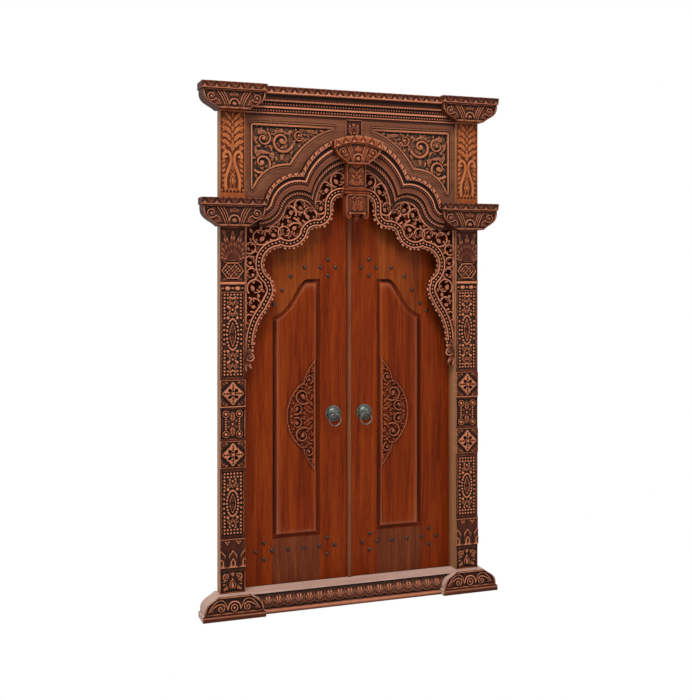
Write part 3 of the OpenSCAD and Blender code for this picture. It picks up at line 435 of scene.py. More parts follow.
def ribbon_reach(x, z, at, r, start, w, hand=1, turns=1.4, eye=0.28):
    """Distance in from the edge of a ribbon that winds inwards, past one turn to a round eye."""
    across, up = x - at[0], (z - at[1]) * hand
    rho = np.hypot(across, up)
    phi = (np.degrees(np.arctan2(up, across)) - start) % 360
    best = (0.26 if turns > 1 else 0) * r - rho
    for lap in (0, 360):
        share = (phi + lap) / (360 * turns)
        path = r * (1 - (1 - eye) * share)
        best = np.maximum(best, np.where(share <= 1, w / 2 * (1 - 0.4 * share) - abs(rho - path), -9))
    return best


def ribbon(x, z, at, r, start, w, h, *turning):
    """A carved scroll with a rounded, grooved ribbon."""
    f = ribbon_reach(x, z, at, r, start, w, *turning)
    return dome(f, 0.42 * w, h) - 0.25 * h * np.exp(-((f - 0.42 * w) / 1.2) ** 2)


def bezier(points, n):
    t = np.linspace(0, 1, n)[:, None]
    s = 1 - t
    p = np.array(points, float)
    return s ** 3 * p[0] + 3 * s * s * t * p[1] + 3 * s * t * t * p[2] + t ** 3 * p[3]


def far_from(x, z, start, end):
    """Distance from the straight stretch between two places."""
    (ax, az), (dx, dz) = start, np.subtract(end, start)
    t = np.clip(((x - ax) * dx + (z - az) * dz) / (dx * dx + dz * dz + 1e-9), 0, 1)
    return np.hypot(x - ax - t * dx, z - az - t * dz)


def drawn_reach(x, z, line, w):
    """Distance in from the edges of a band of width w along a line."""
    return w / 2 - lowest([far_from(x, z, *ends) for ends in zip(line[:-1], line[1:])])


def drawn(x, z, line, w, h):
    """A rounded band along a line, with a groove down its middle."""
    f = drawn_reach(x, z, line, w)
    return dome(f, w / 2, h) - 0.3 * h * np.exp(-((f - w / 2) / (0.1 * w)) ** 2)


def boss(x, z, at, r, h):
    return dome(r - np.hypot(x - at[0], z - at[1]), r, h)


def ring(x, z, at, r, w, h):
    return dome(w / 2 - abs(np.hypot(x - at[0], z - at[1]) - r), w / 2, h)


def handed(hand, x, *fields):
    """Turns grids of the right side into those of the left, column by column."""
    if hand > 0:
        return (x, *fields)
    return (-x[:, ::-1], *[field[:, ::-1] for field in fields])


def carved_pair(node, x, z, front, back, material, sides=None):
    """The left and the right timber of a pair, from the grids of the right one."""
    pieces = []
    for side, hand in SIDES.items():
        piece = carved("%s_%s_carved" % (node, side), *handed(hand, x, z, front), back)
        settle(piece, material, "%s_%s" % (node, side), sides=sides)
        pieces.append(piece)
    return pieces


def lunette(x, z, wing, h, deep):
    """Ornament of a plinth's face, on x from its middle and z from its slab."""
    a, eye = abs(x), (0, 0.34 * h)
    forms = [
        ring(x, z, eye, 0.34 * h, 0.10 * h, deep) * (z > 0.3 * h), ring(x, z, eye, 0.18 * h, 0.08 * h, deep),
        boss(x, z, eye, 0.09 * h, deep), ribbon(a, z, (0.42 * wing, 0.34 * h), 0.2 * h, 120, 7, deep),
        leaves(x, z, 0.7 * deep, [(0, 0.02 * h, 0.2 * h, 0.14 * h, 90)]),
        leaves(a, z, 0.7 * deep, [(0.2 * wing, 0.08 * h, 0.3 * wing, 0.12 * h, 8),
                                  (0.1 * wing, 0.9 * h, 0.2 * wing, 0.14 * h, -14)]),
        leaves(a, z, 0.9 * deep, [(0.60 * wing, 0.16 * h, 0.3 * wing, 0.2 * h, 14)]),
    ]
    for rise in (0.72, 1.0):
        brow = [(0.2 * wing, 0.24 * h), (0.3 * wing, rise * h), (0.55 * wing, rise * h),
                (0.82 * wing, 0.2 * rise * h)]
        forms.append(drawn(a, z, bezier(brow, 10), 6, 0.9 * deep))
    return highest(forms)


def plinth_face(x, z):
    top = plinth_high[2]
    f = lowest([plinth_half(z) - abs(x), top - z, z - PLINTH_TOE])
    sunk = np.clip((f - RIM) / 2, 0, 1) * CARVED_DEEP
    ornament = lunette(x, z - PLINTH_TOE, wing_half, top - PLINTH_TOE, CARVED_DEEP - 1)
    slab = np.where(z < PLINTH_TOE - 4, 6, 0)
    return BLOCK_FACE + sunk - np.where(sunk > CARVED_DEEP - 1, ornament, 0) - slab


DEEP, BODY, PALE = (34, 13, 6), (68, 28, 13), (95, 44, 21)
# Plinths, arches and cornice beam: painted shade in the hollows and painted highlight, with wear, on proud
# edges.
carved_teak_lying = wood("carved_teak_lying", DEEP, BODY, PALE, along="x", worn_and_highlight=WORN_AND_HIGHLIGHT)
z, across = grid(np.linspace(0, plinth_high[2], 58), np.linspace(-1, 1, 150))
x = across * plinth_half(z)
# The plinths' walls and back take the paler ledge wood: partly wear, partly painted light from above.
carved_pair("plinth", x + post_mid, z, plinth_face(x, z), 0, carved_teak_lying, worn_and_lit_ledge_teak)

# Posts
# One tall timber a side, carved in bands: drops, leaf tips, bead fields with an oval,
# raised flowers, ringed bosses, eggs, a woven hexagon, a palmette and leaves.
post_low, post_high = span("post_right")
POST_FACE = -62
SUNK = 5
RELIEF = 8
FIELD_HALF = post_half - 9
BEAD, BEAD_PITCH = 6.4, 15.6
STRAND_PITCH = 17
POST_STEP = 2.45
CAPITAL_TOP = 1963


def strung(x, z, places, r, h):
    """Beads at the given places."""
    return highest([boss(x, z, at, r, h) for at in places])


def drop_ring(x, z, at, r, tall, h):
    """A drop, round below and pointed above, drawn by a ridge with a smaller drop inside."""
    up = z - at[1]
    bowl = np.sqrt(np.clip(r * r - up * up, 0, None))
    spire = r * np.cos(np.clip(up / tall, 0, 1) * math.pi / 2) ** 1.3
    f = np.where((up < tall) & (up > -r), np.where(up > 0, spire, bowl) - abs(x - at[0]), -6)
    return np.maximum(dome(3 - abs(f - 1), 3, h), dome(f - 6, 8, h))


def bead_field(x, z, low, height):
    """Rows of beads round a long oval, with curls and leaves above and below it."""
    up = z - low - height / 2
    a, v = abs(x), abs(up)
    f = np.minimum(FIELD_HALF - 2 - a, height / 2 - 4 - v)
    end = height / 2 - 14
    oval = 0.13 * height + 20
    rows = [(i * BEAD_PITCH, end - j * BEAD_PITCH) for i in (0.5, 1.5, 2.5) for j in (0, 1)]
    rows += [(2.5 * BEAD_PITCH, b) for b in np.arange(end - 2 * BEAD_PITCH, oval, -BEAD_PITCH)]
    rows += [(27 * math.cos(turn), oval * math.sin(turn)) for turn in np.linspace(0, math.pi / 2, 7)]
    rows += [(41, j * 22) for j in range(int(0.8 * oval / 22) + 1)]
    eye = leaf_reach(x, up, (0, 12 - oval), 2 * oval - 24, 32, 90)
    forms = [strung(a, v, rows, BEAD, RELIEF), dome(2.6 - abs(eye - 2), 2.6, RELIEF),
             leaf(x, v, (0, -2), oval - 22, 15, 90, RELIEF - 2)]
    for base in np.arange(oval + 18, end - 30, 52):
        forms += [ribbon(a, v, (18, base + 8), 12, 90, 6, RELIEF), boss(a, v, (22, base - 12), 9, RELIEF),
                  boss(x, v, (0, base + 26), 7, RELIEF), boss(a, v, (13, base + 34), 5.5, RELIEF),
                  leaf(x, v, (0, base - 16), 34, 15, 90, RELIEF),
                  leaf(a, v, (6, base + 16), 26, 9, 50, RELIEF - 1)]
    edge = a - FIELD_HALF
    waves = dome(3 - abs(edge - 3.5 - 2 * np.cos(2 * math.pi * z / 26)), 3, 3) * (abs(edge - 4) < 5)
    return np.where(f > 0, -SUNK + highest(forms), waves - 2.5 * (abs(edge - 4) < 4))


def flower(x, z, low, height):
    """Four broad petals on a lozenge, drilled between them, with leaves in the corners."""
    up = z - low - height / 2
    a, v = abs(x), abs(up)
    forms = [leaf(x, up, (0, 0), 60, 46, turn, 16, 0.75) for turn in (0, 90, 180, 270)]
    corners = leaves(a, v, 6, [(57, 57, 30, 16, 225), (58, 42, 26, 11, 240), (42, 58, 26, 11, 210)])
    forms += [dome((56 - a - v) / 1.4, 5, 8), corners]
    lift = np.where(np.minimum(post_half - a, height / 2 - v) > 3, 0, 6) + highest(forms)
    drilled = np.minimum(1, dome(8.5 - np.hypot(a - 15, v - 15), 8.5, 1.6))
    return np.maximum(lift * (1 - drilled) - 6 * drilled, boss(x, up, (0, 0), 8, 20))


def rosettes(x, z, low, height):
    """Four ringed bosses with strings of beads, and two leaves between them."""
    up = z - low - height / 2
    a, v = abs(x), abs(up)
    at = (0.63 * FIELD_HALF, 0.35 * height)
    string = dome(5.2 - np.hypot(a - at[0], from_nearest(up, 12)), 5.2, RELIEF) * (v < at[1] - 14)
    forms = [
        ring(a, v, at, 15, 5, RELIEF), boss(a, v, at, 9.5, RELIEF + 1), string,
        leaf(x, v, (0, 4), 0.44 * height, 32, 90, RELIEF), boss(x, up, (0, 0), 6, RELIEF),
        leaf(a, v, (8, 6), 26, 11, 38, RELIEF - 2),
    ]
    inside = np.minimum(FIELD_HALF + 4 - a, height / 2 - v) > 0
    return np.where(inside, -SUNK + highest(forms), 0)


def hexagon(x, z, low, height):
    """A hexagon filled with woven strands."""
    up = z - low - height / 2
    a, v = abs(x), abs(up)
    half, tall, flat = FIELD_HALF + 4, 0.38 * height, 27
    f = np.minimum(tall - v, (half - a - v * (half - flat) / tall) * 0.82)
    weave = np.zeros(x.shape)
    for slant in (1, -1):
        off = abs(from_nearest(x + slant * up, STRAND_PITCH)) * 12 / STRAND_PITCH
        over = np.cos(math.pi * (x - slant * up) / STRAND_PITCH)
        weave = np.maximum(weave, dome(3.2 - off, 3.2, RELIEF - 2 + 1.6 * slant * over))
    rim_line = dome(3.2 - abs(f - 3.4), 3.2, RELIEF)
    corner = leaf(a, v, (half, 0.46 * height), 40, 15, 194, RELIEF - 1) * (f < -2)
    edge_line = dome(2.5 - abs(v - 0.47 * height), 2.5, 5)
    lift = highest([rim_line, np.where(f > 9, weave, 0), corner, edge_line])
    return np.where(half + 1 - a > 0, -SUNK + lift, 0)


def palmette(x, z, low, height):
    """A fan of leaves that fills the panel, on a ground that is hardly sunk."""
    a, up = abs(x), z - low
    fan = ((90, 0.96), (72, 0.9), (56, 0.78), (40, 0.62), (22, 0.46))
    blades = [(3 * number, 2, share * height, 34, angle) for number, (angle, share) in enumerate(fan)]
    corner = leaf(a, up, (55, 0.99 * height), 44, 20, 240, RELIEF - 2)
    return np.where(FIELD_HALF + 4 - a > 0, 2 - SUNK + np.maximum(leaves(a, up, RELIEF, blades), corner), 0)


def leaf_tips(x, z, low, height):
    """Two tiers of pointed leaves, the lower in front, under two trefoils and between fillets."""
    a, up = abs(x), z - low
    off = np.minimum(a, abs(a - 0.92 * post_half))
    lift = np.full(x.shape, 4.0)
    for top, wide, h in ((0.62, 0.34 * post_half, 3), (0.34, 0.2 * post_half, 6)):
        e = np.minimum(wide - off, (top * height - up - 1.2 * off) / 1.56)
        vein = 2 * np.exp(-(off / 2) ** 2)
        outline = dome(2.6 - abs(e - 2.4), 2.6, 3) * np.clip((up - top * height + 44) / 20, 0, 1)
        lift = np.where(e > 0, 4 + h - vein + outline, lift)
    buds = strung(a, up, [(20, 0.90 * height), (27, 0.84 * height), (34, 0.90 * height)], 5, 5)
    ends = dome(3.5 - np.minimum(up, height - up), 3.5, 10)
    return highest([lift, 4 + buds, ends])


def drop_leaves(x, z, low, height):
    """A drop between two curls, with leaves at the sides and above."""
    a, up = abs(x), z - low
    edging = [(22, 6, 40, 12, 80)] + [(51, (0.34 + 0.14 * i) * height, 22, 9, 160) for i in range(5)]
    forms = [
        drop_ring(x, up, (0, 0.32 * height), 15, 34, RELIEF),
        ribbon(a, up, (31, 0.72 * height), 17, 250, 7, RELIEF), leaf(a, up, (50, 8), 44, 15, 140, RELIEF),
        leaf(x, up, (0, 0.97 * height), 32, 18, 270, RELIEF),
        leaf(a, up, (3, 0.9 * height), 40, 12, 330, RELIEF - 2), leaves(a, up, RELIEF - 1, edging),
    ]
    inside = lowest([FIELD_HALF + 4 - a, up - 6, height - 4 - up]) > 0
    return np.where(inside, -SUNK + highest(forms), 0)


def upper_leaves(x, z, low, height):
    """Two stems bent like a lyre round a drop, under tiers of leaves."""
    a, up = abs(x), z - low
    h, w = height, FIELD_HALF
    neck = (0.14 * w, 0.41 * h)
    stem = bezier([(0.62 * w, 0.05 * h), (0.86 * w, 0.24 * h), (0.12 * w, 0.30 * h), neck], 9)
    curl = bezier([neck, (0.18 * w, 0.53 * h), (0.90 * w, 0.53 * h), (0.86 * w, 0.43 * h)], 9)
    tiers = [(0.62 + 0.085 * tier) * h for tier in range(-1, 4)]
    feet = np.where(up < 17, dome(7 - abs(from_nearest(x, 17)) - 0.3 * (17 - up), 5, 6), 0)
    forms = [
        drawn(a, up, np.concatenate([stem, curl[1:]]), 0.33 * w, RELIEF), feet,
        boss(a, up, (0.62 * w, 0.44 * h), 8, RELIEF + 1),
        drop_ring(x, up, (0, 0.14 * h), 0.26 * w, 0.1 * h, RELIEF),
        leaf(x, up, (0, 0.25 * h), 0.12 * h, 16, 90, RELIEF - 1),
        leaf(x, up, (0, 0.48 * h), 0.17 * h, 20, 90, RELIEF),
        leaves(a, up, RELIEF, [(2, base, 62, 20, 52) for base in tiers]),
        leaves(a, up, RELIEF - 1, [(22, base - 12, 44, 15, 34) for base in tiers]),
        leaves(x, up, RELIEF - 1, [(0, base + 14, 34, 12, 90) for base in tiers]),
        leaves(a, up, RELIEF - 1, [(52, (0.06 + 0.06 * i) * h, 30, 13, 128) for i in range(7)]),
        leaves(a, up, RELIEF - 2, [(2, (0.02 + 0.05 * i) * h, 26, 11, 64) for i in range(7)]),
        leaves(a, up, RELIEF - 2, [(50, (0.53 + 0.07 * i) * h, 30, 13, 126) for i in range(6)]),
    ]
    inside = lowest([FIELD_HALF + 5 - a, up, height - up]) > 0
    return np.where(inside, 1 - SUNK + highest(forms), 0)


def eggs(x, z, low, height):
    a, up = abs(x), (z - low - height / 2) * 1.25
    forms = [boss(a, up, (24, 0), 16, 9), boss(x, up, (0, 0), 8, 7), boss(a, up, (47, 0), 7, 7)]
    return np.where(a < FIELD_HALF + 3, -SUNK + highest(forms), 0)


def fillet(x, z, low, height):
    return dome(height / 2 - abs(z - low - height / 2), height / 2, 4)


POST_BANDS = [  # carving, foot and height
    (drop_leaves, 112, 109), (leaf_tips, 233, 134), (bead_field, 379, 307), (flower, 698, 126),
    (rosettes, 836, 136), (flower, 984, 126), (bead_field, 1122, 402), (eggs, 1524, 33), (fillet, 1557, 15),
    (hexagon, 1572, 102), (palmette, 1674, 150), (upper_leaves, CAPITAL_TOP + 24, 383),
]


def post_face(x, z):
    lift = np.zeros(x.shape)
    for band, low, height in POST_BANDS:
        rows = (z[:, 0] >= low) & (z[:, 0] <= low + height)
        lift[rows] = band(x[rows], z[rows], low, height)
    return POST_FACE - lift


side_teak = wood("side_teak", (122, 80, 54), (160, 112, 76), (186, 142, 104))
# Posts: painted shade in the hollows and painted highlight, with wear, on proud edges; the upper band's
# painted shade is lighter.
post_teak = wood("post_teak", DEEP, BODY, (106, 52, 28), worn_and_highlight=(206, 128, 90))
upper_teak = wood("upper_teak", (96, 42, 16), (128, 62, 26), (150, 80, 38), worn_and_highlight=(182, 112, 68),
                  hollow_shade=(62, 28, 14))
post_rows = np.arange(post_low[2], post_high[2] + POST_STEP / 2, POST_STEP)
post_rows[-1] = post_high[2]
z, x = grid(post_rows, np.linspace(-post_half, post_half, int(2 * post_half / POST_STEP)))
per_row = x.shape[1] - 1
for post in carved_pair("post", x + post_mid, z, post_face(x, z), 0, post_teak, side_teak):
    post.data.materials.append(upper_teak)
    faces = np.zeros(len(post.data.polygons), np.int32)
    post.data.polygons.foreach_get("material_index", faces)
    faces[per_row * int(np.argmax(post_rows > CAPITAL_TOP)):per_row * (len(post_rows) - 1)] = 2
    post.data.polygons.foreach_set("material_index", faces)

# Capitals
# Scroll-cut blocks that cap the lower posts, notched round them behind: a rimmed face
# with an eye, stems and rosettes, under a slab with a row of leaf tongues.
TONGUES = 5.5
SLAB, SLAB_OVER = 32, 6


def tongue_row(x, z, low, height, pitch, h):
    """Leaf tongues that hang side by side, with hollows between them."""
    v = np.clip((z - low) / height, 0, 1)
    off = abs(from_nearest(x, pitch))
    vein = 1 - 0.5 * np.exp(-(off / 1.6) ** 2)
    dart = dome(0.16 * pitch * (1 - v) - abs(off - pitch / 2), 3, 0.7 * h)
    return np.maximum(dome(0.5 * pitch * v ** 0.55 - 1.2 - off, 0.3 * pitch, h) * vein, dart)


def bracket_ornament(x, z, wing, h, deep):
    """Ornament of a bracket's face, on x from its middle and z from its foot."""
    a, eye = abs(x), (0, 0.26 * h)
    forms = [
        ring(x, z, eye, 0.24 * h, 0.09 * h, deep) * (z > eye[1] - 3), boss(x, z, eye, 0.13 * h, deep),
        ribbon(a, z, (0.72 * wing, 0.60 * h), 0.24 * h, 200, 7, deep),
        ribbon(a, z, (0.55 * wing, 0.30 * h), 0.16 * h, 60, 6, 0.8 * deep),
        leaf(x, z, (0, 0.54 * h), 0.44 * h, 0.20 * h, 90, 0.9 * deep),
        leaves(a, z, 0.8 * deep, [(0.04 * wing, 0.58 * h, 0.30 * h, 0.16 * h, 62),
                                  (0.36 * wing, 0.16 * h, 0.30 * wing, 0.18 * h, 20)]),
        leaves(a, z, 0.7 * deep, [(0.56 * wing, 0.92 * h, 0.24 * wing, 0.16 * h, -40),
                                  (0.97 * wing, 0.98 * h, 0.22 * wing, 0.2 * h, 215)]),
        leaf(a, z, (0.12 * wing, 0.06 * h), 0.2 * wing, 0.1 * h, 50, 0.6 * deep),
    ]
    for k in range(3):
        stem = [((0.15 + 0.06 * k) * wing, 0.06 * h), ((0.20 + 0.07 * k) * wing, 0.45 * h),
                ((0.26 + 0.09 * k) * wing, 0.75 * h), ((0.40 + 0.10 * k) * wing, 0.97 * h)]
        forms.append(drawn(a, z, bezier(stem, 8), 6, 0.9 * deep))
    return highest(forms)


def bracket_edge(node, z):
    """Half width of a slabbed bracket at height z, with z as the height over its foot."""
    low, high = span(node)
    up, slab_half, top = z - low[2], (high[0] - low[0]) / 2, high[2] - low[2] - SLAB
    return np.where(up < top, bracket_half(up, foot_half, slab_half - SLAB_OVER, top), slab_half), up


def bracket_pair(node, rows, back):
    """The brackets of both sides: a rimmed, sunk face with its ornament, and a slab of tongues."""
    low, high = span(node + "_right")
    z, across = grid(np.linspace(low[2], high[2], rows), np.linspace(-1, 1, 156))
    half, up = bracket_edge(node + "_right", z)
    x = across * half
    height = high[2] - low[2]
    top, wing = height - SLAB, (high[0] - low[0]) / 2 - SLAB_OVER
    sunk = np.clip((lowest([half - abs(x), up, top - up]) - RIM) / 2, 0, 1) * CARVED_DEEP
    ornament = bracket_ornament(x, up, wing, top, CARVED_DEEP - 1)
    tongues = tongue_row(x, up, top + 4, SLAB - 8, 2 * (wing + SLAB_OVER) / TONGUES, 5)
    slab = SLAB_OVER + np.where(up > top + 3, tongues - 2 * (up < height - 4), 0)
    front = np.where(up < top, sunk - np.where(sunk > CARVED_DEEP - 1, ornament, 0), -slab)
    carved_pair(node, x + post_mid, z, BLOCK_FACE + front, back, bracket_teak)


# Brackets: painted shade in the hollows and painted highlight, with wear, on proud edges.
bracket_teak = wood("bracket_teak", DEEP, (72, 31, 15), (98, 47, 24), along="x", worn_and_highlight=(178, 110, 80))
cap_high = span("capital_right")[1]
bracket_pair("capital", 68, cap_high[1])

# Arch
# A cusped arch in two halves on a plain board: from its outer edge in, a band of leaf
# tongues, a cove, a fillet, a beaded groove, a plain torus and a row of teeth.
SPRING = 1830
ARCH_R, ARCH_BAND, ARCH_DROP = 298, 96, 46
ARCH_MID = SPRING + 151
ARCH_WIDE, ARCH_DEEP = 140, 64
ARC_STEPS = 160
FOIL_R, FOIL_BAND = 171, 87
FOIL_X, FOIL_Z = 290, SPRING + 90
FLARE = np.array([478, SPRING + 130])
BOARD_FRONT = -20
TOOTH_PITCH = 13


def arc(centre, r, a0, a1, n):
    """Places on a circle, or on an oval where r is a pair."""
    angles = np.linspace(a0, a1, n)
    return np.array(centre) + np.array(r) * np.stack([np.cos(angles), np.sin(angles)], axis=-1)


def angle_to(v):
    return math.atan2(v[1], v[0])


def upper_meet(c0, r0, c1, r1):
    """The upper of the two places where two circles meet."""
    d = np.linalg.norm(c1 - c0)
    u = (c1 - c0) / d
    a = (r0 * r0 - r1 * r1 + d * d) / (2 * d)
    return c0 + a * u + math.sqrt(r0 * r0 - a * a) * np.array([-u[1], u[0]])


def arch_line(t, steps=ARC_STEPS):
    """The moulding's edge at share t of its width, from the crown to the post."""
    c0, r0 = np.array([0, ARCH_MID - ARCH_DROP * t]), ARCH_R - ARCH_BAND * t
    c1, r1 = np.array([FOIL_X - 15 * t, FOIL_Z - 30 * t]), FOIL_R - FOIL_BAND * t
    p = upper_meet(c0, r0, c1, r1)
    out = angle_to(FLARE - c1)
    r2 = np.linalg.norm(FLARE - c1) - r1
    return np.concatenate([
        arc(c0, r0, math.pi / 2, angle_to(p - c0), steps), arc(c1, r1, angle_to(p - c1), out, steps),
        arc(FLARE, r2, out + math.pi, 1.5 * math.pi, steps), [[open_half, FLARE[1] - r2]]])


def lengths(line):
    """How far along a line each of its points is."""
    return np.concatenate([[0], np.cumsum(np.linalg.norm(np.diff(line, axis=0), axis=1))])


def shown_stretch(line, stations):
    """The stretch of an arch line between the keystone and the capital, in equal steps."""
    half = bracket_edge("capital_right", line[:, 1])[0]
    half = np.where(line[:, 1] > cap_high[2] + FIT, 0, half)
    inside = line[:, 0] < post_mid - half - FIT
    line = line if inside.all() else line[:np.argmin(inside)]
    at = np.linspace(0, lengths(line)[-1], stations)
    return np.interp(at, lengths(line), line[:, 0]), np.interp(at, lengths(line), line[:, 1]), at


def finish_node(node, material):
    """Gives a solid that is shown as it is its material."""
    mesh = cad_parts[node].data
    mesh.materials.clear()
    mesh.materials.append(material)


cove = arc((0.235, 0.82), 0.06, math.radians(200), math.radians(340), 5)
torus = arc((0.585, 0.72), (0.115, 0.17), math.radians(165), math.radians(15), 11)
section = np.concatenate([
    [(0, 0.94), (0.02, 1), (0.15, 1), (0.17, 0.86)], cove,
    [(0.31, 0.9), (0.36, 0.9), (0.37, 0.76), (0.46, 0.76)], torus,
    [(0.71, 0.6), (0.88, 0.6), (0.90, 0.5), (1, 0.5)]])
shares = np.unique(np.concatenate([np.linspace(0, 1, 44), section[:, 0]]))[::-1]
x, z, at = np.moveaxis([shown_stretch(arch_line(t), 330) for t in shares], 1, 0)
t = np.repeat(shares[:, None], x.shape[1], axis=1)
lift = ARCH_DEEP * np.interp(t, section[:, 0], section[:, 1])
tongues = tongue_row(at, (0.15 - t) * ARCH_WIDE, 0, 0.12 * ARCH_WIDE, 32, 5) - 3
lift = lift + np.where((t > 0.02) & (t < 0.15), tongues, 0)
groove = (t - 0.415) * ARCH_WIDE
lift = lift + dome(5 - np.hypot(from_nearest(at, TOOTH_PITCH), groove), 5, 6) * (abs(groove) < 6)
lift = lift + np.where((t > 0.72) & (t < 0.87), 3.4 * (np.sin(2 * math.pi * at / TOOTH_PITCH) > -0.2), 0)
carved_pair("arch", x, z, BOARD_FRONT - lift, BOARD_FRONT, carved_teak_lying)
finish_node("transom_board", wood("dark_teak", (52, 28, 18), (92, 54, 34), (128, 84, 56)))

# Spandrels
# Boards that fill the corners over the arch, each with grooved frame lines and a sunk
# field of scrolls and leaves on a dark ground; a small carved block parts them.
SPANDREL_FACE = BOARD_FRONT - 24
FIELD_SUNK = 12
FRAME_IN = 92
beam_low, beam_high = span("cornice_beam")
spandrel_low, spandrel_high = span("spandrel_right")
FIELD_CORNER = np.array([open_half - 40, beam_low[2] - 46])
SPANDREL_SCROLLS = [  # from the field's corner: across, up, radius, start, hand
    (-146, -72, 56, 200, 1), (-48, -178, 52, 40, -1), (-56, -62, 36, 120, 1), (-232, -40, 28, 240, 1),
]
SPANDREL_LEAVES = [  # from the field's corner: across, up, length, angle
    (-18, -10, 130, 215), (-205, -10, 95, 235), (-6, -100, 92, 240), (-100, -22, 90, 190),
    (-8, -210, 60, 250), (-110, -130, 86, 150), (-260, -14, 80, 190), (-90, -180, 60, 110),
    (-20, -120, 70, 190), (-180, -90, 60, 40), (-4, -40, 60, 250), (-270, -60, 60, 20), (-60, -230, 50, 60),
    (-120, -10, 50, 280), (-330, -8, 50, 200), (-150, -130, 40, 90), (-10, -290, 40, 260),
    (-220, -74, 46, 330),
]
CURL, CURL_END = 0.9, 0.55
CURL_LEAVES = [  # turn along the scroll, length, width and lean, in shares of its radius and degrees
    (10, 0.7, 0.34, 60), (60, 0.85, 0.36, 30), (115, 0.7, 0.34, 60), (170, 0.85, 0.36, 30),
    (225, 0.7, 0.34, 60), (280, 0.85, 0.36, 30), (324, 0.95, 0.5, 140), (90, 0.6, 0.3, 150),
    (200, 0.6, 0.3, 150), (260, 0.5, 0.26, 160),
]


def reach_inside(x, z, outline):
    """Distance in from a closed outline, negative outside it."""
    best = np.full(x.shape, 1e9)
    odd = np.zeros(x.shape, bool)
    for (ax, az), (bx, bz) in zip(outline, np.roll(outline, -1, axis=0)):
        best = np.minimum(best, far_from(x, z, (ax, az), (bx, bz)))
        if az != bz:
            odd ^= ((az > z) != (bz > z)) & (x < ax + (z - az) * (bx - ax) / (bz - az))
    return np.where(odd, best, -best)


def field_outline():
    c0, r0 = np.array([0, ARCH_MID - 20]), ARCH_R + 70
    c1, r1 = np.array([FOIL_X + 45, FOIL_Z + 32]), FOIL_R + 13
    p = upper_meet(c0, r0, c1, r1)
    first = math.asin((FIELD_CORNER[1] - c0[1]) / r0)
    last = math.acos((FIELD_CORNER[0] - c1[0]) / r1)
    return np.concatenate([
        arc(c0, r0, first, angle_to(p - c0), 14), arc(c1, r1, angle_to(p - c1), last, 10), [FIELD_CORNER]])


def curl_leaves(a, b, r, start, hand):
    """Leaves that grow from an open scroll, outwards and into its hollow: place, length, width and angle."""
    for turn, length, wide, lean in CURL_LEAVES:
        way = math.radians(start + turn) * hand
        base = r * (1 - (1 - CURL_END) * turn / (360 * CURL))
        yield ((a + base * math.cos(way), b + base * math.sin(way)), length * r, wide * r,
               math.degrees(way) + lean * hand)


def laid_over(lift, x, z, at, r, start, w, h, *turning):
    """Lays a scroll over a carving, parted from it by a narrow cut."""
    f = ribbon_reach(x, z, at, r, start, w, *turning)
    return np.where(f > -3, np.where(f > 0, ribbon(x, z, at, r, start, w, h, *turning), 0), lift)


def spandrel_face(x, z):
    f = reach_inside(x, z, field_outline())
    depth = np.full(x.shape, float(SPANDREL_FACE))
    framed = np.minimum(f, x - FRAME_IN)
    for near, far, cut in ((9, 14, 5), (20, 23, 3)):
        depth += cut * ((framed < -near) & (framed > -far))
    u, v = x - FIELD_CORNER[0], z - FIELD_CORNER[1]
    small = [(-12 - 25 * i - 12 * (j % 2), -8 - 23 * j, 30, 8, 150 + 95 * math.sin(1.7 * i + 2.3 * j))
             for i in range(16) for j in range(14)]
    large = [(a, b, length, 0.27 * length, angle) for a, b, length, angle in SPANDREL_LEAVES]
    lift = np.maximum(leaves(u, v, 9, small), leaves(u, v, 10, large))
    for a, b, r, start, hand in SPANDREL_SCROLLS:
        for at, length, wide, angle in curl_leaves(a, b, r, start, hand):
            lift = np.maximum(lift, leaf(u, v, at, length, 0.8 * wide, angle, 10))
        lift = laid_over(lift, u, v, (a, b), r, start, 0.3 * r, 13, hand, 1.1, 0.24)
    return depth + np.clip(f / 2, 0, 1) * FIELD_SUNK - np.where(f > 1, lift, 0)


crown = arch_line(0)[:2 * ARC_STEPS]
crown = crown[np.argsort(crown[:, 0])]
columns = np.linspace(spandrel_low[0], spandrel_high[0], 236)
lower = np.interp(columns, crown[:, 0], crown[:, 1], right=spandrel_low[2]) + FIT
lower = np.clip(lower, spandrel_low[2], spandrel_high[2])
share, x = grid(np.linspace(0, 1, 150), columns)
z = lower + share * (spandrel_high[2] - lower)
# Spandrels: dark painted shade in the sunk ground and holes, and painted highlight, with wear, on proud
# edges.
spandrel_teak = wood("spandrel_teak", (62, 31, 19), (100, 57, 37), (122, 77, 53), along="x",
                     worn_and_highlight=(176, 106, 72), hollow_shade=(24, 23, 18))
carved_pair("spandrel", x, z, spandrel_face(x, z), BOARD_FRONT, spandrel_teak)

# Centre block and fretwork: painted shade in the hollows and painted highlight, with wear, on proud edges.
carved_teak = wood("carved_teak", DEEP, BODY, PALE, worn_and_highlight=WORN_AND_HIGHLIGHT)
block_low, block_high = span("centre_block")
z, x = grid(np.linspace(block_low[2], block_high[2], 40), np.linspace(block_low[0], block_high[0], 42))
a, up = abs(x), z - block_low[2]
f = lowest([block_high[0] - a, up, block_high[2] - block_low[2] - up])
flames = leaves(a, up, 8, [(2, 6, *row) for row in ((66, 15, 88), (62, 15, 68), (48, 15, 50), (34, 15, 30))])
fan = highest([flames, ring(x, up, (0, 16), 15, 5, 8), boss(x, up, (0, 16), 8, 9)])
front = SPANDREL_FACE - 10 + np.where(f > 4, 6 - fan, 0)
settle(carved("centre_block_carved", x, z, front, BOARD_FRONT), carved_teak, "centre_block")

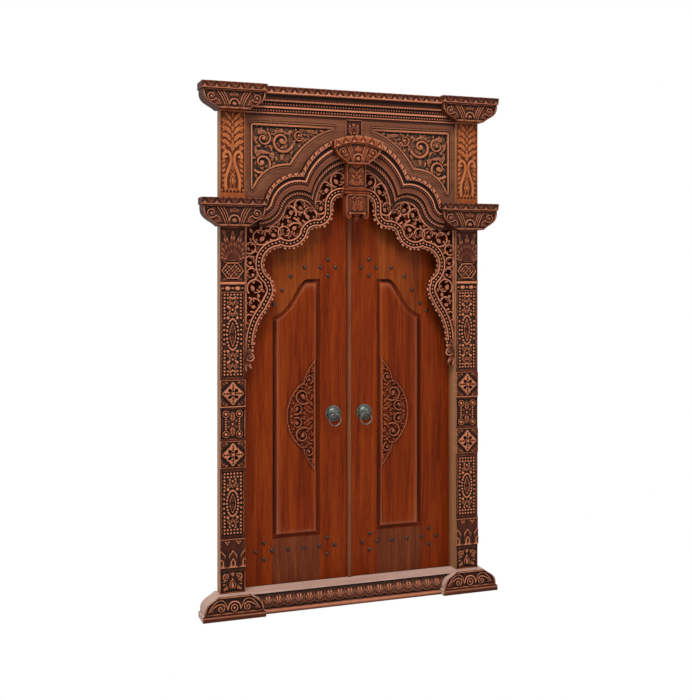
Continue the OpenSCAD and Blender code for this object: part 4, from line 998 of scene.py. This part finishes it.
# Keystone
# A corbel on a carved shaft that stands before the arch's crown, with two collars and
# a pendant below: a carved block with two feet and a turned drop between them.
KEY_HALF, KEY_DEEP = 48, 7
CORBEL_SEAT = BOARD_FRONT - ARCH_DEEP - FIT
CORBEL_HALF, CORBEL_TALL, CORBEL_FACE, CORBEL_STEP = 126, 109, BOARD_FRONT - 98, 2.2
SHAFT_FACE = BOARD_FRONT - 72
KEY_BACK = BOARD_FRONT - 29
PENDANT_HALF, PENDANT_TALL, PENDANT_STEP = KEY_HALF + 10, 121, 2.1
PENDANT_FACE = SHAFT_FACE - 10
DROP_SECTION = [(-26, 0), (-22, 6), (-12, 13), (0, 17), (8, 14), (12, 20), (21, 20), (22, 0)]
# Keystone pieces: painted shade in the hollows and painted highlight, with wear, on proud edges.
key_teak = wood("key_teak", (56, 21, 9), (102, 43, 19), (130, 64, 32), worn_and_highlight=(192, 120, 82))


def pierced(name, x, z, reach, front, back):
    """A board cut away wherever reach is negative: the cut's edge is drawn onto the true outline."""
    step = x[0, 1] - x[0, 0]
    kept = (reach[:-1, :-1] + reach[1:, :-1] + reach[:-1, 1:] + reach[1:, 1:]) / 4 > 0
    for _ in range(2):
        a, b, c, d = kept[:-1, :-1], kept[:-1, 1:], kept[1:, :-1], kept[1:, 1:]
        kept[:-1, 1:] = b | (a & d & ~b & ~c)
        kept[:-1, :-1] = a | (b & c & ~a & ~d)
    count = np.zeros(reach.shape, int)
    for rows in (slice(None, -1), slice(1, None)):
        for columns in (slice(None, -1), slice(1, None)):
            count[rows, columns] += kept
    slope_z, slope_x = np.gradient(reach, z[1, 0] - z[0, 0], step)
    steep = slope_x ** 2 + slope_z ** 2 + 1e-6
    move = np.where((count > 0) & (count < 4), -reach / steep, 0)
    far = np.maximum(1, abs(move) * np.sqrt(steep) / step)
    piece = grid_piece(name, x + move * slope_x / far, z + move * slope_z / far, front)
    with editing() as mesh:
        mesh.select_mode(type="FACE")
    piece.data.polygons.foreach_set("select", ~kept.ravel())
    with editing() as mesh:
        mesh.delete(type="FACE")
        mesh.select_all(action="SELECT")
        mesh.extrude_region()
    set_depth_of_selected(piece, back)
    with editing() as mesh:
        mesh.select_mode(type="VERT")
    smooth_outside()
    return piece


corbel_low = span("keystone_corbel")[0]
band_out = ARCH_R - 4
band_in = band_out - SLAB
z, x = grid(np.arange(corbel_low[2] - 3, ARCH_MID + band_out + 3, CORBEL_STEP),
            np.arange(-CORBEL_HALF - 3, CORBEL_HALF + 3, CORBEL_STEP))
a, up, far = abs(x), z - corbel_low[2], np.hypot(x, z - ARCH_MID)
flare = bracket_half(up, KEY_HALF + 4, CORBEL_HALF - 6, CORBEL_TALL)
face_reach = lowest([0.8 * (flare - a), up, band_in + 2 - far])
band_reach = lowest([band_out - far, far - band_in, CORBEL_HALF - a])
sunk = np.clip((np.minimum(face_reach, band_in - far) - KEY_DEEP) / 2, 0, 1) * KEY_DEEP
ornament = bracket_ornament(x, up, CORBEL_HALF - 20, CORBEL_TALL - 13, KEY_DEEP - 1)
ornament = np.where(sunk > KEY_DEEP - 1, ornament, 0)
around = 0.5 * (band_in + band_out) * np.arctan2(x, z - ARCH_MID)
tongues = tongue_row(around, far, band_in + 4, SLAB - 8, 2 * CORBEL_HALF / TONGUES, 4)
band = SLAB_OVER + tongues - 1.5 * (band_out - far > 4)
front = CORBEL_FACE + np.where(band_reach > 0, -band, sunk - ornament)
corbel = pierced("keystone_corbel_carved", x, z, np.maximum(face_reach, band_reach), front, CORBEL_SEAT)
settle(corbel, key_teak, "keystone_corbel")

shaft_low, shaft_high = span("keystone_shaft")
z, x = grid(np.linspace(shaft_low[2] + 28, shaft_high[2], 96), np.linspace(-KEY_HALF, KEY_HALF, 44))
a, up = abs(x), z - shaft_low[2] - 30
vine = [ribbon(a, up, (26, 28), 14, 90, 6, 6), ribbon(a, up, (24, 84), 13, 250, 6, 6, -1),
        leaves(a, up, 6, [(2, base, 46, 15, 58) for base in (4, 34, 64, 94)]),
        leaves(x, up, 6, [(0, base, 46, 18, 90) for base in (0, 44, 88)])]
front = SHAFT_FACE + np.where(np.minimum(KEY_HALF - a, up) > 4, 4 - highest(vine), 0)
shaft = carved("keystone_shaft_carved", x, z, front, BOARD_FRONT)
for number in range(2):
    reach, low = KEY_HALF + 16 - 6 * number, shaft_low[2] + 15 * number
    collar = plank("collar", (-reach, SHAFT_FACE - 12 + 5 * number, low), (reach, KEY_BACK, low + 12), 4)
    shaft = joined(shaft, collar)
settle(shaft, key_teak, "keystone_shaft")

pendant_low = shaft_low[2] - PENDANT_TALL
z, x = grid(np.arange(pendant_low - 3, shaft_low[2] + 3, PENDANT_STEP),
            np.arange(-PENDANT_HALF - 3, PENDANT_HALF + 3, PENDANT_STEP))
up, a = z - pendant_low, abs(x)
foot, shoulder, leg = 0.24 * PENDANT_HALF, 0.3 * PENDANT_HALF, 0.4 * PENDANT_HALF
f = highest([
    lowest([PENDANT_HALF - a, up - 0.2 * PENDANT_TALL, PENDANT_TALL - shoulder - up]),
    lowest([PENDANT_HALF - shoulder - a, up - 0.5 * PENDANT_TALL, PENDANT_TALL - up]),
    shoulder - np.hypot(a - PENDANT_HALF + shoulder, up - PENDANT_TALL + shoulder),
    lowest([PENDANT_HALF - a, a - PENDANT_HALF + leg, up - foot, 0.5 * PENDANT_TALL - up]),
    foot - np.hypot(a - PENDANT_HALF + foot, up - foot),
]) - FIT
rays = ((66, 13, 84), (62, 13, 66), (46, 13, 48), (34, 13, 28))
sprays = [leaves(a, up, 6, [(1, 0.3 * PENDANT_TALL, *row) for row in rays]),
          ring(a, up, (14, 0.80 * PENDANT_TALL), 11, 5, 5) * (up > 0.80 * PENDANT_TALL),
          ribbon(a, up, (PENDANT_HALF - foot, foot + 2), 9, 90, 5, 5)]
front = PENDANT_FACE - 4 + np.where(f > 7, 5 - highest(sprays), 0)
pendant = pierced("pendant_drop_carved", x, z, f, front, KEY_BACK)
drop = fresh("drop", bpy.ops.mesh.primitive_uv_sphere_add, segments=32, ring_count=24, radius=MM)
places = places_of(drop)
height = places[:, 2].copy()
girth = np.interp(24 * height - 2, *zip(*DROP_SECTION))
places[:, :2] *= (girth / np.maximum(np.hypot(places[:, 0], places[:, 1]), 1e-6))[:, None]
places[:, 1] += (PENDANT_FACE + KEY_BACK) / 2
places[:, 2] = pendant_low + 0.08 * PENDANT_TALL - 2 + 24 * height
set_places(drop, places)
bpy.ops.object.shade_smooth()
set_proud(drop, [0.6] * len(drop.data.vertices))
settle(joined(pendant, drop), key_teak, "pendant_drop")

# Fretwork
# Two pierced curtains that hang under the arch: scrolls and leaves cut right through,
# edged by a cusped border of two fillets with beads between, fringed with small rounds.
FRET_FACE = BOARD_FRONT - 24
BORDER = 18
STRIP = 14
SCROLL_WIDE, STEM_WIDE = 9, 11
FRET_STEP = 2.35
FRET_FOOT = SPRING - 560
FRET_SCROLLS = [  # across, up from the spring line, radius, start, hand
    (76, 236, 44, 300, 1), (150, 190, 42, 120, -1), (176, 104, 40, 200, 1), (226, 66, 46, 40, -1),
    (270, 108, 36, 250, 1), (292, -14, 40, 30, 1), (332, 70, 40, 160, -1), (350, -22, 34, 300, 1),
    (402, -24, 40, 60, -1), (470, -44, 44, 210, 1), (520, -96, 34, 20, -1), (518, -160, 30, 250, 1),
    (514, -222, 32, 120, -1), (492, -286, 44, 320, 1), (500, -366, 38, 60, -1), (520, -434, 28, 240, 1),
    (534, -496, 22, 90, -1),
]
TAIL_LEAVES = [  # from the foot at the post: across, up, length, width and angle
    (-4, 20, 96, 26, 248), (-4, -10, 120, 28, 266), (-14, -30, 60, 18, 225), (-8, -70, 56, 18, 235),
]
LOBES = [  # across, up from the spring line, radius, first and last angle, points
    (62, 112, 68, 90, 0, 12), (182, 78, 52, 180, 270, 10), (190, -44, 70, 84, 22, 8),
    (330, 5, 82, 196, 300, 12), (377, -175, 101, 84, -58, 18), (478, -300, 55, 146, 208, 8),
    (250, -560, 275, 40, 2, 10),
]
fret_line = np.concatenate(
    [[[KEY_HALF, SPRING + 180]]]
    + [arc((a, SPRING + b), r, math.radians(a0), math.radians(a1), n) for a, b, r, a0, a1, n in LOBES]
    + [[[open_half - 16, SPRING - 590]]])
doorway = np.concatenate([fret_line, [[open_half, 0], [-open_half, 0], [-open_half, SPRING + 180]]])


def along_line(line, pitch):
    """Places at equal steps along a line, with the direction of the line at each."""
    at = np.arange(pitch / 2, lengths(line)[-1], pitch)
    places = np.stack([np.interp(at, lengths(line), line[:, i]) for i in (0, 1)], axis=-1)
    ways = np.gradient(places, axis=0)
    return zip(places, ways / np.linalg.norm(ways, axis=1)[:, None])


def fretwork_forms(x, z):
    """The curtain's outline as a distance in from its edges, and the height of its carving."""
    up = z - SPRING
    d = reach_inside(x, z, doorway)
    reach, lift = np.full(x.shape, -9.0), np.zeros(x.shape)
    for a, b, r, start, hand in FRET_SCROLLS:
        reach = np.maximum(reach, ribbon_reach(x, up, (a, b), r, start, SCROLL_WIDE, hand, CURL, CURL_END))
        lift = np.maximum(lift, ribbon(x, up, (a, b), r, start, SCROLL_WIDE, 9, hand, CURL, CURL_END))
        for place in curl_leaves(a, b, r, start, hand):
            reach = np.maximum(reach, leaf_reach(x, up, *place))
            lift = np.maximum(lift, leaf(x, up, *place, 8))
        root = fret_line[np.argmin(np.hypot(fret_line[:, 0] - a, fret_line[:, 1] - SPRING - b))] - (0, SPRING)
        far = math.hypot(root[0] - a, root[1] - b)
        if far > r:
            stem = [np.array([a, b]) + (root - (a, b)) * r / far, root]
            reach = np.maximum(reach, drawn_reach(x, up, stem, STEM_WIDE))
            lift = np.maximum(lift, drawn(x, up, stem, STEM_WIDE, 8))
    opening = reach_inside(x, z, np.concatenate([arch_line(1, 40), [[open_half, 0], [0, 0], [0, ARCH_MID]]]))
    edge_strip = np.where(up > 0, STRIP - opening, STRIP - (open_half - x))
    lift = np.maximum(lift, dome(STRIP / 2 - abs(edge_strip - STRIP / 2), STRIP / 2, 7))
    reach = np.minimum(np.maximum(reach, edge_strip), -d - BORDER + 1)
    hem = np.minimum(BORDER - abs(d), z - FRET_FOOT)
    reach = np.maximum(reach, hem)
    border = hem > 0
    fillets = dome(4.5 - abs(abs(d) - BORDER + 4.5), 4.5, 11)
    row = np.zeros(x.shape)
    for (a, b), (ux, uz) in along_line(fret_line, 19):
        along, off = (x - a) * ux + (z - b) * uz, (x - a) * uz - (z - b) * ux
        row = np.maximum(row, dome(1 - np.hypot(along / 7.5, off / 5.4), 1, 9))
    lift = np.where(border, np.maximum(fillets, row), lift)
    for number, ((a, b), (ux, uz)) in enumerate(along_line(fret_line, 17)):
        r = 9.5 - 3 * (number % 2)
        f = r - np.hypot(x - a - (BORDER + 0.4 * r) * uz, z - b + (BORDER + 0.4 * r) * ux)
        reach = np.maximum(reach, f)
        lift = np.where((f > 0) & ~border, dome(f, r, 9) - 3 * dome(f - 0.5 * r, 0.5 * r, 1), lift)
    u, v = x - open_half, z - FRET_FOOT
    tail_curl = (-28, -58), 22, 70, SCROLL_WIDE
    tail = [leaf_reach(u, v, row[:2], *row[2:]) for row in TAIL_LEAVES]
    reach = highest([reach, *tail, ribbon_reach(u, v, *tail_curl)])
    tail = np.maximum(leaves(u, v, 9, TAIL_LEAVES), ribbon(u, v, *tail_curl, 9))
    zone = lowest([opening - FIT, x - KEY_HALF - FIT, open_half - FIT - x, z - SPRING + 690])
    return np.minimum(reach, zone), np.maximum(lift, np.where(border, 0, tail))


fret_low, fret_high = span("fretwork_right")
z, x = grid(np.arange(fret_low[2] - 4, fret_high[2] + 4, FRET_STEP),
            np.arange(fret_low[0] - 4, fret_high[0] + 4, FRET_STEP))
reach, lift = fretwork_forms(x, z)
for side, hand in SIDES.items():
    places = handed(hand, x, z, reach, FRET_FACE + 6 - lift)
    settle(pierced("fretwork_%s_carved" % side, *places, BOARD_FRONT), carved_teak, "fretwork_" + side)

# Cornice
# A beam over the spandrels: a plain strip, fillets with dotted bands between, teeth,
# a cove and a row of leaf tongues, closed at each end by a bracketed corner block.
CORNICE_SECTION = [
    (0, -46), (9.5, -46), (10, -52), (16, -52), (16.5, -48), (36, -48), (36.5, -58), (46, -58),
    (46.5, -53), (66, -53), (66.5, -66), (77, -68), (79, -69), (88, -71), (95, -76), (99, -84), (100, -86),
    (102, -94), (134, -94),
]


def cornice_face(x, z):
    up = z - beam_low[2]
    dots = highest([dome(5.8 - np.hypot(from_nearest(x, 14), up - row), 5.8, 6) for row in (26, 56)])
    teeth = 4 * (np.sin(2 * math.pi * x / TOOTH_PITCH) > -0.2) * ((up > 67) & (up < 75))
    tongues = np.where(up > 105, tongue_row(x, up, 106, 24, 57, 5) - 2 * (up < 130), 0)
    return np.interp(up, *zip(*CORNICE_SECTION)) - dots - teeth - tongues


z, across = grid(np.linspace(beam_low[2], beam_high[2], 70), np.linspace(-1, 1, 400))
half, up = bracket_edge("cornice_block_right", z)
x = across * np.where(up < 0, open_half - FIT, post_mid - half - FIT)
settle(carved("cornice_beam_carved", x, z, cornice_face(x, z), 0), carved_teak_lying, "cornice_beam")
bracket_pair("cornice_block", 64, 0)

# Lining
# Plain rebated boards behind the posts, which the leaves close against.
LINING = (96, 58, 34), (140, 92, 58), (168, 120, 84)
lining_teak = wood("lining_teak", *LINING)
finish_node("jamb_left", lining_teak)
finish_node("jamb_right", lining_teak)
finish_node("head_jamb", wood("lining_teak_lying", *LINING, along="x"))

# Leaves
# Two doors of red teak boards: stiles and rails round a raised panel with an ogee top,
# which carries a half-moon of carved scrolls; the right one has a bead on its edge.
LEAF_TONES = (54, 15, 5), (104, 35, 7), (136, 58, 12)
boards = {"streaks": 0.45, "rough": 0.45, "gloss": 0.06}
leaf_teak = wood("leaf_teak", *LEAF_TONES, streaks=0.45, rough=0.42, gloss=0.04)
top_teak = wood("top_teak", (58, 21, 8), (108, 43, 10), (140, 70, 20), **boards)
foot_teak = wood("foot_teak", (50, 20, 13), (92, 40, 19), (122, 64, 32), **boards)
# Panels: painted shade in the grooves and carving hollows, and painted highlight, with wear, on raised edges.
panel_teak = wood("panel_teak", *LEAF_TONES, streaks=0.6, rough=0.42, gloss=0.04,
                  worn_and_highlight=(152, 92, 66), hollow_shade=(30, 9, 4))
for side in SIDES:
    finish_node(side + "_hinge_stile", leaf_teak)
    finish_node(side + "_meeting_stile", leaf_teak)
    finish_node(side + "_top_rail", top_teak)
    finish_node(side + "_bottom_rail", foot_teak)
finish_node("right_meeting_bead", wood("bead_teak", (78, 38, 20), (112, 60, 34), (140, 86, 54)))

LEAF_FRONT, PANEL_BACK = 25, 59
PANEL_IN, PANEL_OUT, PANEL_LOW, PANEL_TOP, OGEE_DROP = 150.5, 390.5, 325.5, 1582.5, 183
FLAT_TOP = 60
MOON_EDGE, MOON_MID, MOON_HALF, MOON_WIDE = 176, 915, 272.5, 144
MOON_OUT, MOON_STEP = MOON_EDGE + MOON_WIDE, 2.1
OGEE_ROWS = 36
MOON_LEAVES = [  # from the half-moon's straight edge and middle: across, up, length, width and angle
    (6, 4, 74, 12, 35), (6, 22, 70, 11, 38), (4, 44, 56, 11, 44), (6, 200, 56, 11, 82),
    (112, 12, 70, 12, 110),
]
MOON_SCROLLS = [  # place, radius, start, width and hand
    ((62, 96), 42, 230, 10, 1), ((92, 36), 30, 60, 8, -1), ((30, 178), 24, 100, 7, -1),
]


def ogee(n):
    shoulder = PANEL_TOP - OGEE_DROP
    return bezier([(PANEL_OUT, shoulder), (PANEL_IN + 140, shoulder + 20), (PANEL_IN + 120, PANEL_TOP),
                   (PANEL_IN + FLAT_TOP, PANEL_TOP)], n)


def moon_outline():
    chord, bulge = 0.576 * MOON_HALF, 0.52 * MOON_WIDE
    r = (chord * chord + bulge * bulge) / (2 * bulge)
    a = math.asin(chord / r)
    shoulder = np.array([MOON_OUT - bulge - 10, MOON_MID + chord])
    tip = bezier([shoulder, shoulder + [-2, 46], (MOON_EDGE + 24, MOON_MID + 0.86 * MOON_HALF),
                  (MOON_EDGE, MOON_MID + MOON_HALF)], 10)
    low_tip = np.stack([tip[::-1, 0], 2 * MOON_MID - tip[::-1, 1]], axis=-1)
    return np.concatenate([low_tip, arc((MOON_OUT - r, MOON_MID), r, -a, a, 24), tip])


def moon_carving(x, z):
    u, v = x - MOON_EDGE, abs(z - MOON_MID)
    small = [(6 + 17 * i, 5 + 15 * j + 7 * (i % 2), 24, 7, 60 + 85 * math.sin(1.9 * i + 1.3 * j))
             for i in range(9) for j in range(17)]
    lift = leaves(u, v, 8, small + MOON_LEAVES)
    for at, r, start, w, hand in MOON_SCROLLS:
        lift = laid_over(lift, u, v, at, r, start, w, 9, hand, 1.15, 0.26)
    return lift


def panel_face(x, z):
    foot, head = [(PANEL_IN, PANEL_LOW), (PANEL_OUT, PANEL_LOW)], [(PANEL_IN, PANEL_TOP)]
    outline = np.concatenate([foot, ogee(30), head])
    f = reach_inside(x, z, outline)
    moon = reach_inside(x, z, moon_outline())
    depth = LEAF_FRONT + np.interp(f, [0, 3, 17, 22, 25], [6, 8, 6, 1, 1]) + np.where(moon > 0, 2, 0)
    rim_line = dome(3 - abs(moon - 2.5), 3, 8)
    return depth - np.where(moon > 5, moon_carving(x, z), 0) - rim_line * (moon > -1)


columns = np.concatenate([
    np.linspace(PANEL_IN, MOON_EDGE - 4, 9), np.arange(MOON_EDGE - 2, MOON_OUT + 6, MOON_STEP),
    np.linspace(MOON_OUT + 10, PANEL_OUT, 14)])
curve = ogee(60)[::-1]
top = np.interp(columns, curve[:, 0], curve[:, 1], left=PANEL_TOP)
moon_low, moon_high = MOON_MID - MOON_HALF - 4, MOON_MID + MOON_HALF + 4
rows = np.concatenate([
    np.linspace(PANEL_LOW, PANEL_LOW + 30, 10), np.linspace(PANEL_LOW + 40, moon_low - 6, 7),
    np.arange(moon_low, moon_high, MOON_STEP), np.linspace(moon_high + 6, PANEL_TOP - OGEE_DROP - 40, 7)])
share = np.concatenate([np.zeros(len(rows)), np.linspace(0, 1, OGEE_ROWS + 1)[1:]])
rows = np.concatenate([rows, np.full(OGEE_ROWS, rows[-1])])
x = np.repeat(columns[None], len(rows), axis=0)
z = rows[:, None] + share[:, None] * (top[None] - rows[-1])
front = panel_face(x, z)
for side, hand in SIDES.items():
    panel = carved(side + "_panel_carved", *handed(hand, x, z, front), PANEL_BACK)
    ends = sorted((hand * PANEL_IN, hand * (PANEL_IN + FLAT_TOP)))
    tongue = plank("tongue", (ends[0], LEAF_FRONT + 14, PANEL_TOP - 12),
                   (ends[1], LEAF_FRONT + 26, PANEL_TOP + 6))
    settle(joined(panel, tongue), panel_teak, side + "_panel", side + "_leaf")

# Ironwork
# Domed studs, bell-shaped roses with hanging rings, and butt hinges behind: aged iron
# in fine random spots of a dark, a middle and a pale tone, the roses grey-green.


def iron(name, deep, body, pale_marks, rough):
    metal, tree = new_material(name)
    place = add_node(tree, "TexCoord", {}).outputs["Object"]
    spots = add_node(tree, "TexNoise", {"Vector": place, "Scale": 160, "Detail": 6}).outputs["Fac"]
    patina = ramp(tree, spots, [(0.32, tone(*deep)), (0.5, tone(*body)), (0.72, tone(*pale_marks))])
    polish = (rough - 0.12, rough + 0.15)
    finish_shader(tree, patina, spots, polish, spots, strength=0.3, deep=0.4, more={"Metallic": 0.75})
    return metal


stud_iron = iron("stud_iron", (24, 19, 16), (48, 40, 34), (92, 80, 70), 0.4)
rose_iron = iron("rose_iron", (42, 46, 43), (76, 82, 76), (116, 121, 112), 0.42)
ring_iron = iron("ring_iron", (60, 58, 52), (100, 96, 86), (150, 142, 130), 0.42)
for side in SIDES:
    finish_node(side + "_pull_rose", rose_iron)
    finish_node(side + "_pull_ring", ring_iron)
    for node in (side + "_studs", side + "_hinge_leaf", "hinge_frame_" + side, "hinge_pins_" + side):
        finish_node(node, stud_iron)
